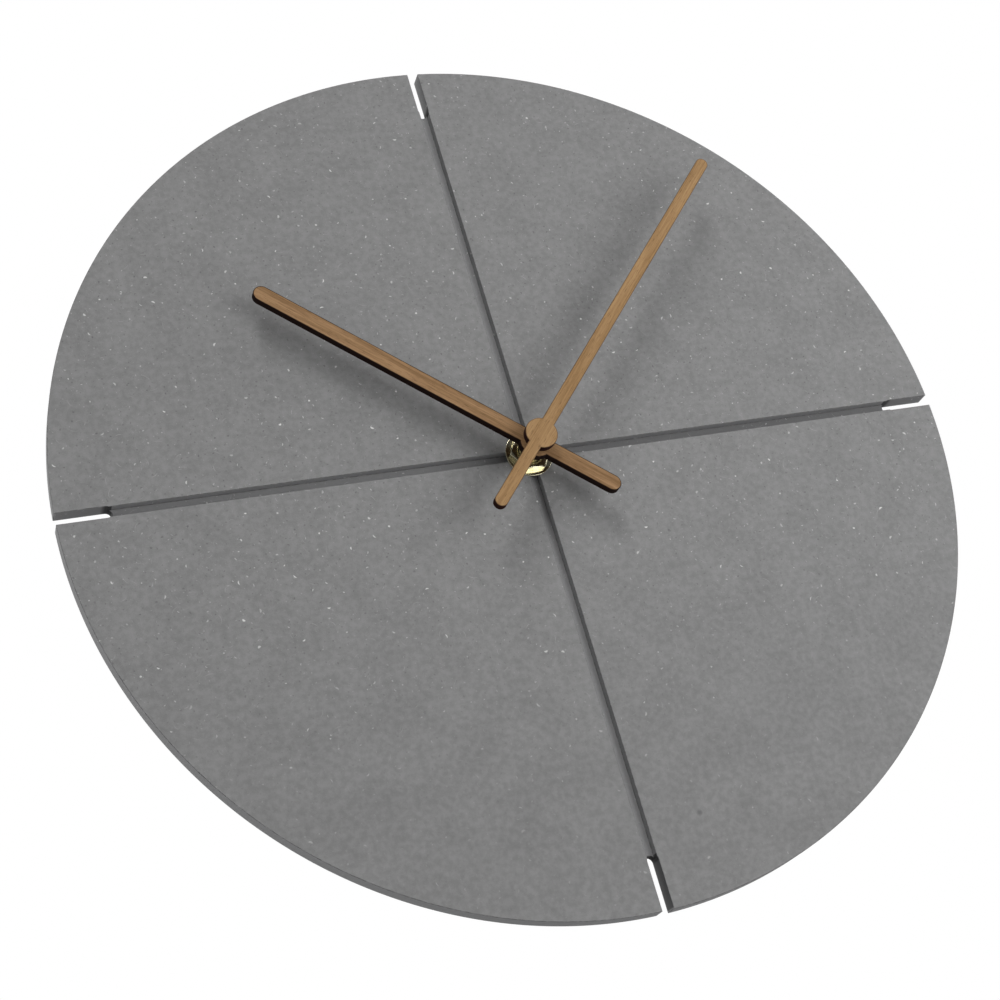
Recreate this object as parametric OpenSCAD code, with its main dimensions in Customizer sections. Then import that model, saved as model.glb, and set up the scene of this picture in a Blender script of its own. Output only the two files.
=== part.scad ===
// Round fibreboard wall clock with wooden hands and a battery quartz movement.
// The part frame has +Z towards twelve o'clock, +X towards three o'clock and +Y towards the wall.
// The origin is on the hand axis, in the plane of the wall.

/* [Dial] */
// Diameter of the dial disc
dial_d = 300; // [250:1:400]
// Thickness of the dial disc
dial_t = 5.5; // [4:0.1:9]
// Width of the two crossed grooves in the face
groove_w = 3.2; // [2:0.1:5]
// Depth of the grooves
groove_depth = 2.5; // [1:0.1:3.5]
// Width of the four slots cut through the rim
slot_w = 3.7; // [3:0.1:8]
// Length of a rim slot, from the rim to its round end
slot_len = 17; // [8:0.5:40]
// Radial play between the dial's centre hole and the threaded post
dial_play = 0.2; // [0.1:0.05:0.5]

/* [Hands] */
// Thickness of the wooden hands
hand_t = 2.6; // [1.5:0.1:4]
// Hand axis to the tip of the hour hand
hour_reach = 100.8; // [60:0.2:120]
// Hand axis to the tail end of the hour hand
hour_tail = 30.2; // [15:0.2:50]
// Width of the hour hand
hour_w = 5.5; // [3:0.1:9]
// Diameter of the hour hand's hub
hour_hub_d = 11; // [9:0.1:16]
// Hand axis to the tip of the minute hand
minute_reach = 131; // [70:0.5:148]
// Hand axis to the tail end of the minute hand
minute_tail = 30.4; // [15:0.2:50]
// Width of the minute hand
minute_w = 4.3; // [2.5:0.1:8]
// Diameter of the minute hand's hub
minute_hub_d = 10.5; // [8:0.1:16]
// Direction of the hour hand, clockwise from twelve
hour_angle = 310.1; // [0:0.1:359.9]
// Direction of the minute hand, clockwise from twelve
minute_angle = 43.2; // [0:0.1:359.9]
// Height of the collet behind the hour hand
hour_collet_h = 2.2; // [1.5:0.1:5]
// Height of the collet behind the minute hand
minute_collet_h = 2.2; // [1.5:0.1:5]
// Wall of the hand collets
collet_wall = 1.4; // [1:0.1:2]
// Axial gap between parts that turn past each other in front of the dial
hand_clear = 1; // [0.4:0.1:2]

/* [Post, nut and washers] */
// Outer diameter of the threaded post
post_d = 8; // [7:0.1:10]
// Pitch of the post's thread
thread_pitch = 0.75; // [0.5:0.05:1]
// Depth of the post's thread
thread_depth = 0.35; // [0.2:0.05:0.4]
// Length of post that stands past the nut
thread_stand = 1.4; // [1:0.1:4]
// Thickness of the post's flange inside the case
flange_t = 1.1; // [0.8:0.1:2]
// Width of the hex nut across its flats
nut_af = 12; // [12:0.1:16]
// Thickness of the hex nut
nut_t = 2; // [1.5:0.1:4]
// Outer diameter of the brass washer
washer_d = 15.6; // [15:0.1:24]
// Thickness of the brass washer
washer_t = 0.5; // [0.3:0.1:1]
// Outer diameter of the rubber washer behind the dial
rubber_d = 22; // [16:0.5:40]
// Thickness of the rubber washer
rubber_t = 1; // [0.5:0.1:3]
// Radial play of the washers and the case on the post
post_play = 0.1; // [0.05:0.05:0.3]

/* [Arbors] */
// Outer diameter of the hour pipe
pipe_d = 5; // [4.6:0.1:5.4]
// Outer diameter of the minute arbor
minute_arbor_d = 3.5; // [3.2:0.05:3.8]
// Diameter of the seconds arbor
seconds_arbor_d = 1; // [0.8:0.05:1.1]
// Diameter of the rear stub of the minute arbor, which carries the centre wheel
stub_d = 2.4; // [2:0.1:3]
// Diameter of the small pivots
pivot_d = 0.8; // [0.6:0.05:1]
// Radial clearance of every running fit
running_gap = 0.05; // [0.02:0.01:0.09]

/* [Hanger] */
// Thickness of the steel hanger
hanger_t = 0.8; // [0.6:0.1:1.5]
// Width of the hanger's strap
hanger_w = 16; // [12:0.5:20]
// Diameter of the hanging hole
hanger_hole_d = 5; // [3:0.1:8]
// Height of the hanging hole above the top of the case
hanger_rise = 9; // [7:0.5:20]
// Distance from the wall to the hanger's tab
hanger_recess = 1; // [0.5:0.1:2]
// Inner radius of the hanger's bends
hanger_bend = 0.6; // [0.4:0.1:1.5]

/* [Movement case] */
// Room for the contact between each end of the cell and the side wall
contact_room = 1.55; // [1.2:0.05:3]
// Gap between the wheels' teeth and the wall of the cell bay
bay_gap = 0.6; // [0.3:0.1:2]
// Gap between the knob's well and the circuit board
board_gap = 0.9; // [0.3:0.1:3]
// Radius of the case corners
case_r = 4; // [2:0.5:6]
// Thickness of the case walls
wall = 1.2; // [1:0.05:1.4]
// Thickness of the plate that carries the wheels
plate_t = 1; // [0.8:0.1:1.6]
// Radius of the posts that hold the plate
plate_post_r = 1.6; // [1:0.1:2]
// Thickness of the two snap tongues that hold the shells together
tongue_t = 0.9; // [0.7:0.1:1.4]
// Width of a snap tongue
tongue_w = 8; // [5:0.5:12]
// Length of a snap tongue below the shells' seam
tongue_drop = 3; // [2:0.1:4]

/* [Setting knob] */
// Diameter of the knob's head
knob_d = 11; // [8:0.1:12]
// Thickness of the knob's head
knob_t = 2.2; // [1.5:0.1:3]
// Distance from the wall to the knob's head
knob_recess = 0.6; // [0.4:0.1:1.5]
// Gap around the knob's head in its well
knob_gap = 0.4; // [0.3:0.05:0.8]
// Diameter of the knob's stem
knob_stem_d = 2.4; // [2:0.1:3]
// Radius of one flute of the knob's grip
flute_r = 0.4; // [0.2:0.05:0.6]

/* [Battery] */
// Diameter of the cell
cell_d = 14.5; // [13.6:0.1:14.6]
// Length of the cell with its button
cell_len = 50.5; // [49.4:0.1:50.8]
// Diameter of the cell's positive button
button_d = 5.5; // [4.5:0.1:6]
// Length of the cell's positive button
button_len = 1.2; // [0.9:0.1:1.6]
// Thickness of the cell's end discs
cell_end_t = 0.3; // [0.2:0.05:0.6]
// Width of the crimped shoulder at each end of the cell
cell_shoulder = 0.8; // [0.5:0.1:1.5]
// Gap around the cell in its bay
cell_gap = 0.3; // [0.2:0.05:0.5]
// Thickness of the contact strips
strip_t = 0.3; // [0.2:0.05:0.5]
// Width of a contact's tail
tail_w = 2.8; // [2:0.1:4]
// Length of a contact plate beside the cell's end
contact_len = 9.5; // [7:0.1:11]

/* [Wheels] */
// Face width of each wheel
gear_t = 1; // [0.8:0.05:1.2]
// Axial gap between neighbouring wheels
layer_gap = 0.4; // [0.3:0.05:0.6]
// Tooth module of the rotor pinion and the wheel it drives
rotor_module = 0.22; // [0.2:0.01:0.23]
// Tooth module of the intermediate pinion and the seconds wheel
drive_module = 0.25; // [0.245:0.005:0.26]
// Tooth module of the seconds pinion and the third wheel
third_module = 0.25; // [0.245:0.005:0.26]
// Tooth module of the minute arbor's pinion and the minute wheel
motion_module = 0.25; // [0.24:0.01:0.26]
// Thinning of each tooth at its pitch circle, which gives the backlash
tooth_slack = 0.05; // [0.03:0.01:0.08]

/* [Stepping motor] */
// Diameter of the rotor magnet
magnet_d = 6; // [5:0.1:6.4]
// Length of the rotor magnet
magnet_h = 2.4; // [2:0.1:2.6]
// Thickness of the stator plate
stator_t = 1; // [0.8:0.1:1.2]
// Air gap between the magnet and the stator
air_gap = 0.5; // [0.3:0.05:0.7]
// Width of the stator's bar around the rotor
stator_bar_w = 8.6; // [8.2:0.1:8.8]
// Width of a stator leg
leg_w = 4; // [3:0.1:4.4]
// Distance between the two stator legs
coil_span = 14; // [13:0.1:14.4]
// Thickness of the coil core
core_t = 0.8; // [0.6:0.1:1]
// Outer diameter of the coil winding
winding_d = 6.8; // [6:0.1:7]
// Outer diameter of the bobbin's cheeks
cheek_d = 7.6; // [7.2:0.1:7.8]
// Thickness of a bobbin cheek
cheek_t = 0.6; // [0.4:0.1:1]

/* [Circuit board] */
// Thickness of the circuit board
board_t = 0.8; // [0.6:0.1:1]
// Width of the circuit board's short side
board_w = 8.4; // [8:0.1:8.6]
// Diameter of the chip's resin blob
blob_d = 6; // [4:0.1:7]
// Height of the resin blob
blob_h = 1; // [0.6:0.1:1.4]
// Diameter of the crystal's can
crystal_d = 2; // [1.5:0.1:3]
// Length of the crystal's can
crystal_len = 6; // [5:0.1:8]

/* [Hidden] */
$fn = 64;

// Overrun of every cut past the face it opens
over = 0.5;

// Tooth counts, each wheel's driver first
rotor_teeth = 12;
intermediate_teeth = 60;
drive_teeth = 10;
seconds_teeth = 60;
seconds_pinion_teeth = 8;
third_teeth = 60;
third_pinion_teeth = 8;
centre_teeth = 64;
arbor_pinion_teeth = 12;
minute_teeth = 36;
minute_pinion_teeth = 10;
hour_teeth = 40;
knob_teeth = 12;

// Tooth form
pressure_angle = 20;
addendum_share = 0.9;
dedendum_share = 1.3;

// Directions of the wheel axes, anticlockwise from three o'clock as seen from the front
third_angle = -15;
intermediate_angle = 200;
rotor_angle = 110;
minute_wheel_angle = 60;
knob_angle = 60;

// Distances between meshing axes
third_dist = (seconds_pinion_teeth + third_teeth) * third_module / 2;
centre_module = 2 * third_dist / (third_pinion_teeth + centre_teeth);
drive_dist = (drive_teeth + seconds_teeth) * drive_module / 2;
rotor_dist = (rotor_teeth + intermediate_teeth) * rotor_module / 2;
motion_dist = (arbor_pinion_teeth + minute_teeth) * motion_module / 2;
hour_module = 2 * motion_dist / (minute_pinion_teeth + hour_teeth);
knob_dist = (minute_teeth + knob_teeth) * motion_module / 2;

// Places of the axes in the front view
third_at = polar(third_dist, third_angle);
intermediate_at = polar(drive_dist, intermediate_angle);
rotor_at = intermediate_at + polar(rotor_dist, rotor_angle);
minute_wheel_at = polar(motion_dist, minute_wheel_angle);
knob_at = minute_wheel_at + polar(knob_dist, knob_angle);

// Tooth phases: one tooth's centre, so that every pair is in mesh at rest
arbor_pinion_phase = minute_wheel_angle;
minute_wheel_phase = meshed(arbor_pinion_phase, arbor_pinion_teeth, minute_wheel_angle, minute_teeth);
minute_pinion_phase = minute_wheel_angle + 180;
hour_phase = meshed(minute_pinion_phase, minute_pinion_teeth, minute_wheel_angle + 180, hour_teeth);
knob_phase = meshed(minute_wheel_phase, minute_teeth, knob_angle, knob_teeth);
rotor_phase = rotor_angle + 180;
intermediate_phase = meshed(rotor_phase, rotor_teeth, rotor_angle + 180, intermediate_teeth);
drive_phase = intermediate_angle + 180;
seconds_phase = meshed(drive_phase, drive_teeth, intermediate_angle + 180, seconds_teeth);
seconds_pinion_phase = third_angle;
third_phase = meshed(seconds_pinion_phase, seconds_pinion_teeth, third_angle, third_teeth);
third_pinion_phase = third_angle + 180;
centre_phase = meshed(third_pinion_phase, third_pinion_teeth, third_angle + 180, centre_teeth);

// Depths from the wall towards the viewer, through the going train
boss_h = 0.8;
board_margin = 0.4;
bearing_floor = 0.5;
well_floor_t = 0.8;
well_wall = 0.8;
well_floor = knob_recess + knob_t + layer_gap / 2;
intermediate_d = wall + boss_h + layer_gap / 2;
seconds_d = max(intermediate_d + gear_t, well_floor + well_floor_t) + layer_gap;
third_d = seconds_d + gear_t + layer_gap + running_gap;
centre_d = third_d + gear_t + 3 * layer_gap;
plate_d = centre_d + gear_t + layer_gap + running_gap;
plate_top = plate_d + plate_t;

// Depths through the motion work
minute_d = plate_top + layer_gap + running_gap;
hour_d = minute_d + gear_t + layer_gap;
train_front = hour_d + gear_t + layer_gap + flange_t;
cell_front = knob_recess + cell_d + cell_gap;
front_in = max(train_front, cell_front);
case_depth = front_in + wall;
flange_d = front_in - flange_t;
cell_axis_d = front_in - cell_gap - cell_d / 2;

// Depths from the case to the hands
rubber_at = case_depth + hanger_t;
dial_back = rubber_at + rubber_t;
dial_face = dial_back + dial_t;
nut_at = dial_face + washer_t;
nut_top = nut_at + nut_t;
post_top = nut_top + thread_stand;
hour_collet_at = post_top + hand_clear / 2;
hour_hand_at = hour_collet_at + hour_collet_h;
hour_hand_top = hour_hand_at + hand_t;
minute_collet_at = hour_hand_top + hand_clear;
minute_hand_at = minute_collet_at + minute_collet_h;
pipe_top = hour_hand_at + hand_t / 3;
arbor_top = minute_hand_at - running_gap;
seconds_top = arbor_top - running_gap;

// Case and bay in the front view, sized by the cell, the wheels, the knob's well and the board
seam_gap = 0.1;
nib_h = 1.5;
nib_reach = 0.8;
tongue_low = plate_d - tongue_drop;
well_r = knob_d / 2 + knob_gap;
wheels_low = min(third_at.y - tip_r(third_teeth, third_module),
                 intermediate_at.y - tip_r(intermediate_teeth, rotor_module));
bay_wall_top = wheels_low - bay_gap;
bay_top = bay_wall_top - wall;
bay_bottom = bay_top - cell_d - 2 * cell_gap;
cell_y = (bay_top + bay_bottom) / 2;
board_low = knob_at.y + well_r + well_wall + board_gap;
inner_top = board_low + board_w + board_margin;
case_top = inner_top + wall;
case_h = case_top - bay_bottom + wall;
case_y = case_top - case_h / 2;
plate_edge_gap = 0.6;
stator_left = coil_span / 2 + leg_w / 2 - rotor_at.x;
inner_w = 2 * max(cell_len / 2 + contact_room,
                  stator_left + 2 * plate_post_r + strip_t + 3 * plate_edge_gap);
case_w = inner_w + 2 * wall;
plate_w = inner_w - 2 * strip_t - 4 * plate_edge_gap;
plate_low = bay_wall_top + plate_edge_gap;
plate_high = knob_at.y + knob_stem_d / 2 + 2 * knob_gap + wall;
plate_posts = [for (sx = [-1, 1]) for (y = [plate_low + plate_post_r, plate_high - plate_post_r])
    [sx * (plate_w / 2 - plate_post_r), y]];

// Motor and board in the front view
stator_d = seconds_d + gear_t + layer_gap;
magnet_at_d = stator_d + stator_t / 2 - magnet_h / 2;
board_y = board_low + board_w / 2;
board_d = intermediate_d;
board_len = inner_w - 2 * strip_t - 2 * board_margin;
coil_y = board_y;
core_d = stator_d + stator_t;
core_w = leg_w;
coil_axis_d = core_d + core_t / 2;
coil_len = coil_span - leg_w - 2 * seam_gap;
barrel_wall = 0.35;
barrel_d = sqrt(core_w * core_w + core_t * core_t) + 2 * barrel_wall;
stator_post_r = 1.2;
stator_posts = [
    [rotor_at.x - coil_span / 2, rotor_at.y],
    [rotor_at.x - coil_span / 2, board_y - board_w / 2 - 2 * stator_post_r],
    [rotor_at.x + coil_span / 2, board_y - board_w / 2 - 2 * stator_post_r]
];
peg_r = 0.7;
peg_seat_r = 1.3;
peg_shares = [-0.44, -0.02, 0.44];
blob_share = 0.26;
crystal_share = 0.03;
lead_r = 0.15;
flute_count = 24;
dimple_r = 2.4;
tail_low = cell_axis_d - tail_w;

// A place at a radius and an angle in the front view
function polar(r, a) = [r * cos(a), r * sin(a)];

// Involute of an angle in degrees
function involute(a) = tan(a) * 180 / PI - a;

// Phase of a wheel of n_b teeth in mesh with a wheel of n_a teeth at phase a, along direction phi
function meshed(a, n_a, phi, n_b) = phi + 180 - (a - phi) * n_a / n_b + 180 / n_b;

// Half of a tooth's angle at radius r
function half_tooth(n, m, r) =
    let (rp = n * m / 2, rb = rp * cos(pressure_angle))
    90 / n - tooth_slack / 2 / rp * 180 / PI + involute(pressure_angle)
        - involute(acos(min(1, rb / max(r, rb))));

// Radii at which a tooth's flank has a point, from its root to its tip
function flank_radii(n, m) =
    let (rp = n * m / 2, rb = rp * cos(pressure_angle),
         rr = rp - dedendum_share * m, rt = rp + addendum_share * m)
    rb > rr ? [rr, rb, rp, (rp + rt) / 2, rt] : [rr, rp, rt];

// Radius at a wheel's tooth tips
function tip_r(n, m) = n * m / 2 + addendum_share * m;

// Outline of a toothed wheel with one tooth's centre at the phase
module gear_outline(n, m, phase) {
    rs = flank_radii(n, m);
    last = len(rs) - 1;
    polygon([for (k = [0 : n - 1]) for (j = [0 : 2 * last + 1])
        let (r = j <= last ? rs[j] : rs[2 * last + 1 - j],
             side = j <= last ? -1 : 1)
        polar(r, phase + 360 * k / n + side * half_tooth(n, m, r))]);
}

// A toothed wheel from depth d with height h
module gear(n, m, phase, d, h) {
    translate([0, 0, d]) linear_extrude(h) gear_outline(n, m, phase);
}

// Turns the front view, drawn in X and Y with depth towards the viewer, into the part frame
module place(at = [0, 0]) {
    rotate([90, 0, 0]) translate([at.x, at.y, 0]) children();
}

module disc(r, d, h) {
    translate([0, 0, d]) cylinder(r = r, h = h);
}

module hole(r, d, h) {
    translate([0, 0, d - over]) cylinder(r = r, h = h + 2 * over);
}

// A box from one corner to the opposite one
module block(low, high) {
    translate(low) cube(high - low);
}

// A rectangle with round corners, centred
module round_rect(w, h, r) {
    square([w - 2 * r, h], center = true);
    square([w, h - 2 * r], center = true);
    for (sx = [-1, 1]) for (sy = [-1, 1])
        translate([sx * (w / 2 - r), sy * (h / 2 - r)]) circle(r = r);
}

// Outline of the case, or of its inside where it is set in by a wall
module case_outline(inset) {
    translate([0, case_y]) round_rect(case_w - 2 * inset, case_h - 2 * inset, case_r - inset);
}

// Outline of a hand that points along +X, with its hub at the origin
module hand_outline(reach, tail, w, hub_d) {
    translate([-tail + w / 2, -w / 2]) square([reach + tail - w, w]);
    translate([reach - w / 2, 0]) circle(r = w / 2);
    translate([-tail + w / 2, 0]) circle(r = w / 2);
    circle(r = hub_d / 2);
}

module dial() {
    color([0.5, 0.5, 0.5]) place() difference() {
        translate([0, 0, dial_back]) cylinder(r = dial_d / 2, h = dial_t, $fn = 256);
        hole(post_d / 2 + dial_play, dial_back, dial_t);
        for (a = [0, 90]) rotate([0, 0, a])
            block([-dial_d / 2 - over, -groove_w / 2, dial_face - groove_depth],
                  [dial_d / 2 + over, groove_w / 2, dial_face + over]);
        for (a = [0 : 90 : 270]) rotate([0, 0, a]) {
            block([dial_d / 2 - slot_len + slot_w / 2, -slot_w / 2, dial_back - over],
                  [dial_d / 2 + over, slot_w / 2, dial_face + over]);
            translate([dial_d / 2 - slot_len + slot_w / 2, 0, 0])
                hole(slot_w / 2, dial_back, dial_t);
        }
    }
}

module brass_washer() {
    color([0.79, 0.66, 0.36]) place() difference() {
        disc(washer_d / 2, dial_face, washer_t);
        hole(post_d / 2 + post_play, dial_face, washer_t);
    }
}

// The corners of the nut are turned down on its outer face
module hex_nut() {
    corner_r = nut_af / 2 / cos(30);
    bevel = corner_r - nut_af / 2;
    color([0.79, 0.66, 0.36]) place() difference() {
        intersection() {
            translate([0, 0, nut_at]) cylinder(r = corner_r, h = nut_t, $fn = 6);
            rotate_extrude() polygon([
                [0, nut_at], [corner_r, nut_at], [corner_r, nut_top - bevel * tan(30)],
                [corner_r - bevel, nut_top], [0, nut_top]]);
        }
        hole(post_d / 2 + running_gap / 2, nut_at, nut_t);
    }
}

// The thread is drawn as rings of the right pitch and depth
module threaded_post() {
    r = post_d / 2;
    flange_r = motion_dist - pivot_d / 2 - layer_gap - running_gap;
    turns = floor((post_top - case_depth) / thread_pitch);
    start = post_top - (turns - 1 / 2) * thread_pitch;
    bore_r = pipe_d / 2 + running_gap;
    color([0.76, 0.62, 0.33]) place() rotate_extrude() polygon(concat(
        [[bore_r, flange_d], [flange_r, flange_d], [flange_r, front_in], [r, front_in]],
        [for (k = [0 : 2 * turns - 1])
            [k % 2 == 0 ? r : r - thread_depth, start + k * thread_pitch / 2]],
        [[bore_r, post_top]]));
}

module rubber_washer() {
    color([0.08, 0.08, 0.08]) place() difference() {
        disc(rubber_d / 2, rubber_at, rubber_t);
        hole(post_d / 2 + post_play, rubber_at, rubber_t);
    }
}

// Side view of the strap's bends, with X away from the viewer and Y up
module strap_profile(top) {
    outer = hanger_bend + hanger_t;
    front = case_depth + hanger_t;
    tab = hanger_recess + hanger_t;
    translate([-front, 0]) square([hanger_t, top - outer]);
    translate([-front + outer, top - hanger_t]) square([front - tab - hanger_bend - outer, hanger_t]);
    translate([-tab, top + hanger_bend]) square([hanger_t, case_top + hanger_rise - top - hanger_bend]);
    bend([-front + outer, top - outer], [-1, 1]);
    bend([-tab - hanger_bend, top + hanger_bend], [1, -1]);
}

// Quarter of a ring around a bend's centre, towards the side given by the two signs
module bend(at, side) {
    outer = hanger_bend + hanger_t;
    translate(at) intersection() {
        difference() {
            circle(r = outer);
            circle(r = hanger_bend);
        }
        translate([side.x * outer / 2, side.y * outer / 2]) square(outer, center = true);
    }
}

// A strap clamped under the nut goes over the case and ends in a tab near the wall
module hanger() {
    top = case_top + hanger_bend + hanger_t;
    hole_y = case_top + hanger_rise;
    color([0.72, 0.73, 0.75]) place() difference() {
        union() {
            disc(rubber_d / 2, case_depth, hanger_t);
            rotate([0, 90, 0]) translate([0, 0, -hanger_w / 2]) linear_extrude(hanger_w) strap_profile(top);
            translate([0, hole_y, 0]) disc(hanger_w / 2, hanger_recess, hanger_t);
        }
        hole(post_d / 2 + post_play, case_depth, hanger_t);
        translate([0, hole_y, 0]) hole(hanger_hole_d / 2, hanger_recess, hanger_t);
    }
}

module hour_hand() {
    color([0.6, 0.45, 0.33]) place() rotate([0, 0, 90 - hour_angle]) difference() {
        translate([0, 0, hour_hand_at]) linear_extrude(hand_t)
            hand_outline(hour_reach, hour_tail, hour_w, hour_hub_d);
        hole(pipe_d / 2, hour_hand_at, hand_t);
    }
}

module hour_hand_collet() {
    color([0.79, 0.66, 0.36]) place() difference() {
        disc(pipe_d / 2 + collet_wall, hour_collet_at, hour_collet_h);
        hole(pipe_d / 2, hour_collet_at, hour_collet_h);
    }
}

module minute_hand() {
    color([0.6, 0.45, 0.33]) place() rotate([0, 0, 90 - minute_angle])
        translate([0, 0, minute_hand_at]) linear_extrude(hand_t)
            hand_outline(minute_reach, minute_tail, minute_w, minute_hub_d);
}

module minute_hand_collet() {
    color([0.79, 0.66, 0.36]) place() difference() {
        disc(minute_arbor_d / 2 + collet_wall, minute_collet_at, minute_collet_h);
        hole(minute_arbor_d / 2, minute_collet_at, minute_collet_h);
    }
}

// Front shell with the face plate, the plate's clamping posts and two tongues that snap into the back
module case_front() {
    color([0.1, 0.1, 0.11]) place() difference() {
        union() {
            difference() {
                translate([0, 0, plate_d]) linear_extrude(case_depth - plate_d) case_outline(0);
                translate([0, 0, plate_d - over]) linear_extrude(front_in - plate_d + over)
                    case_outline(wall);
            }
            for (p = plate_posts) translate([p.x, p.y, 0])
                disc(plate_post_r, plate_top, case_depth - plate_top);
            for (a = [0, 180]) rotate([0, 0, a]) {
                block([case_w / 2, -tongue_w / 2, tongue_low],
                      [case_w / 2 + tongue_t, tongue_w / 2, case_depth - wall]);
                block([case_w / 2 - wall / 2, -tongue_w / 2, plate_d],
                      [case_w / 2 + tongue_t, tongue_w / 2, case_depth - wall]);
                block([case_w / 2 - nib_reach, -tongue_w / 2, tongue_low],
                      [case_w / 2 + tongue_t, tongue_w / 2, tongue_low + nib_h]);
            }
        }
        hole(post_d / 2 + post_play, front_in, wall);
        translate([minute_wheel_at.x, minute_wheel_at.y, front_in - over])
            cylinder(r = pivot_d / 2 + running_gap, h = over + wall - bearing_floor);
        translate([knob_at.x, knob_at.y, front_in - over])
            cylinder(r = pivot_d / 2 + running_gap, h = over + wall - bearing_floor);
    }
}

// Bearing boss on the back plate, with its blind hole
module boss(top) {
    disc(pivot_d + 2 * running_gap + wall / 2, wall - seam_gap, top - wall + seam_gap);
}

module bearing_hole(d, top) {
    translate([0, 0, bearing_floor]) cylinder(r = d / 2 + running_gap, h = top - bearing_floor + over);
}

// Rear shell with the cell bay, the knob well, the bearing bosses and the seats of the inner parts
module case_back() {
    low_boss = intermediate_d - layer_gap / 2;
    high_boss = seconds_d - layer_gap;
    color([0.1, 0.1, 0.11]) place() difference() {
        union() {
            difference() {
                linear_extrude(plate_d) case_outline(0);
                translate([0, 0, wall]) linear_extrude(plate_d) case_outline(wall);
            }
            block([-inner_w / 2, bay_top, 0], [inner_w / 2, bay_wall_top, front_in - seam_gap]);
            translate([knob_at.x, knob_at.y, 0]) disc(well_r + well_wall, 0, well_floor + well_floor_t);
            boss(high_boss);
            translate(third_at) boss(high_boss);
            translate(intermediate_at) boss(low_boss);
            translate(rotor_at) boss(low_boss);
            for (p = plate_posts) translate([p.x, p.y, 0]) disc(plate_post_r, 0, plate_d);
            for (p = stator_posts) translate([p.x, p.y, 0]) disc(stator_post_r, 0, stator_d);
            for (s = peg_shares) translate([s * board_len, board_y, 0]) {
                disc(peg_seat_r, 0, board_d);
                disc(peg_r, 0, board_d + board_t);
            }
        }
        translate([0, 0, -over]) linear_extrude(wall + 2 * over) intersection() {
            case_outline(wall);
            translate([-inner_w / 2, bay_bottom]) square([inner_w, bay_top - bay_bottom]);
        }
        for (a = [0, 180]) rotate([0, 0, a])
            block([inner_w / 2 - over, -tongue_w / 2 - seam_gap, tongue_low - seam_gap],
                  [case_w / 2 + over, tongue_w / 2 + seam_gap, tongue_low + nib_h + seam_gap]);
        for (sx = [-1, 1])
            block([sx * inner_w / 2 - (sx > 0 ? strip_t + seam_gap : 0), bay_top - over, tail_low - seam_gap],
                  [sx * inner_w / 2 + (sx > 0 ? 0 : strip_t + seam_gap), bay_wall_top + over,
                   tail_low + tail_w + seam_gap]);
        translate([knob_at.x, knob_at.y, 0]) {
            translate([0, 0, -over]) cylinder(r = well_r, h = well_floor + over);
            hole(knob_stem_d / 2 + running_gap, 0, well_floor + well_floor_t);
        }
        bearing_hole(seconds_arbor_d, high_boss);
        translate(third_at) bearing_hole(pivot_d, high_boss);
        translate(intermediate_at) bearing_hole(pivot_d, low_boss);
        translate(rotor_at) bearing_hole(pivot_d, low_boss);
    }
}

// Plate between the going train and the motion work, with the front bearings of the train
module wheel_plate() {
    color([0.85, 0.85, 0.83]) place() difference() {
        translate([0, 0, plate_d]) linear_extrude(plate_t)
            translate([0, (plate_low + plate_high) / 2])
                round_rect(plate_w, plate_high - plate_low, plate_post_r);
        hole(stub_d / 2 + running_gap, plate_d, plate_t);
        for (p = [third_at, intermediate_at, rotor_at, minute_wheel_at])
            translate([p.x, p.y, 0]) hole(pivot_d / 2 + running_gap, plate_d, plate_t);
        translate([knob_at.x, knob_at.y, 0]) hole(knob_stem_d / 2 + running_gap, plate_d, plate_t);
    }
}

// Wheel and pipe that carry the hour hand
module hour_wheel() {
    color([0.93, 0.92, 0.88]) place() difference() {
        union() {
            gear(hour_teeth, hour_module, hour_phase, hour_d, gear_t);
            disc(pipe_d / 2 + collet_wall / 2, hour_d, flange_d - layer_gap / 2 - hour_d);
            disc(pipe_d / 2, hour_d, pipe_top - hour_d);
        }
        hole(minute_arbor_d / 2 + running_gap, hour_d, pipe_top - hour_d);
    }
}

// Hollow arbor with the pinion of the motion work, which carries the minute hand
module minute_arbor() {
    pinion_d = minute_d - layer_gap / 2;
    pinion_h = gear_t + layer_gap / 2 + layer_gap / 4;
    stub_at = centre_d - layer_gap;
    color([0.76, 0.62, 0.33]) place() difference() {
        union() {
            disc(stub_d / 2, stub_at, plate_top + running_gap - stub_at);
            disc(minute_arbor_d / 2, plate_top + running_gap, pinion_d - plate_top - running_gap);
            gear(arbor_pinion_teeth, motion_module, arbor_pinion_phase, pinion_d, pinion_h);
            disc(minute_arbor_d / 2, pinion_d + pinion_h, arbor_top - pinion_d - pinion_h);
        }
        hole(seconds_arbor_d / 2 + running_gap, stub_at, arbor_top - stub_at);
    }
}

module minute_wheel() {
    pinion_at = minute_d + gear_t;
    color([0.93, 0.92, 0.88]) place(minute_wheel_at) {
        gear(minute_teeth, motion_module, minute_wheel_phase, minute_d, gear_t);
        gear(minute_pinion_teeth, hour_module, minute_pinion_phase, pinion_at, gear_t + 3 * layer_gap / 2);
        disc(pivot_d / 2, plate_d, front_in + wall - bearing_floor - running_gap - plate_d);
    }
}

// Knob with a fluted grip, a stem through the plate and a pinion on the minute wheel
module setting_knob() {
    pinion_d = minute_d - layer_gap / 2;
    color([0.14, 0.14, 0.15]) place(knob_at) {
        difference() {
            disc(knob_d / 2, knob_recess, knob_t);
            for (k = [1 : flute_count]) rotate([0, 0, 360 * k / flute_count])
                translate([knob_d / 2, 0, 0]) hole(flute_r, knob_recess, knob_t);
        }
        disc(knob_stem_d / 2, knob_recess, pinion_d - knob_recess);
        gear(knob_teeth, motion_module, knob_phase, pinion_d, gear_t + layer_gap);
        disc(pivot_d / 2, pinion_d, front_in + wall - bearing_floor - running_gap - pinion_d);
    }
}

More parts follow.
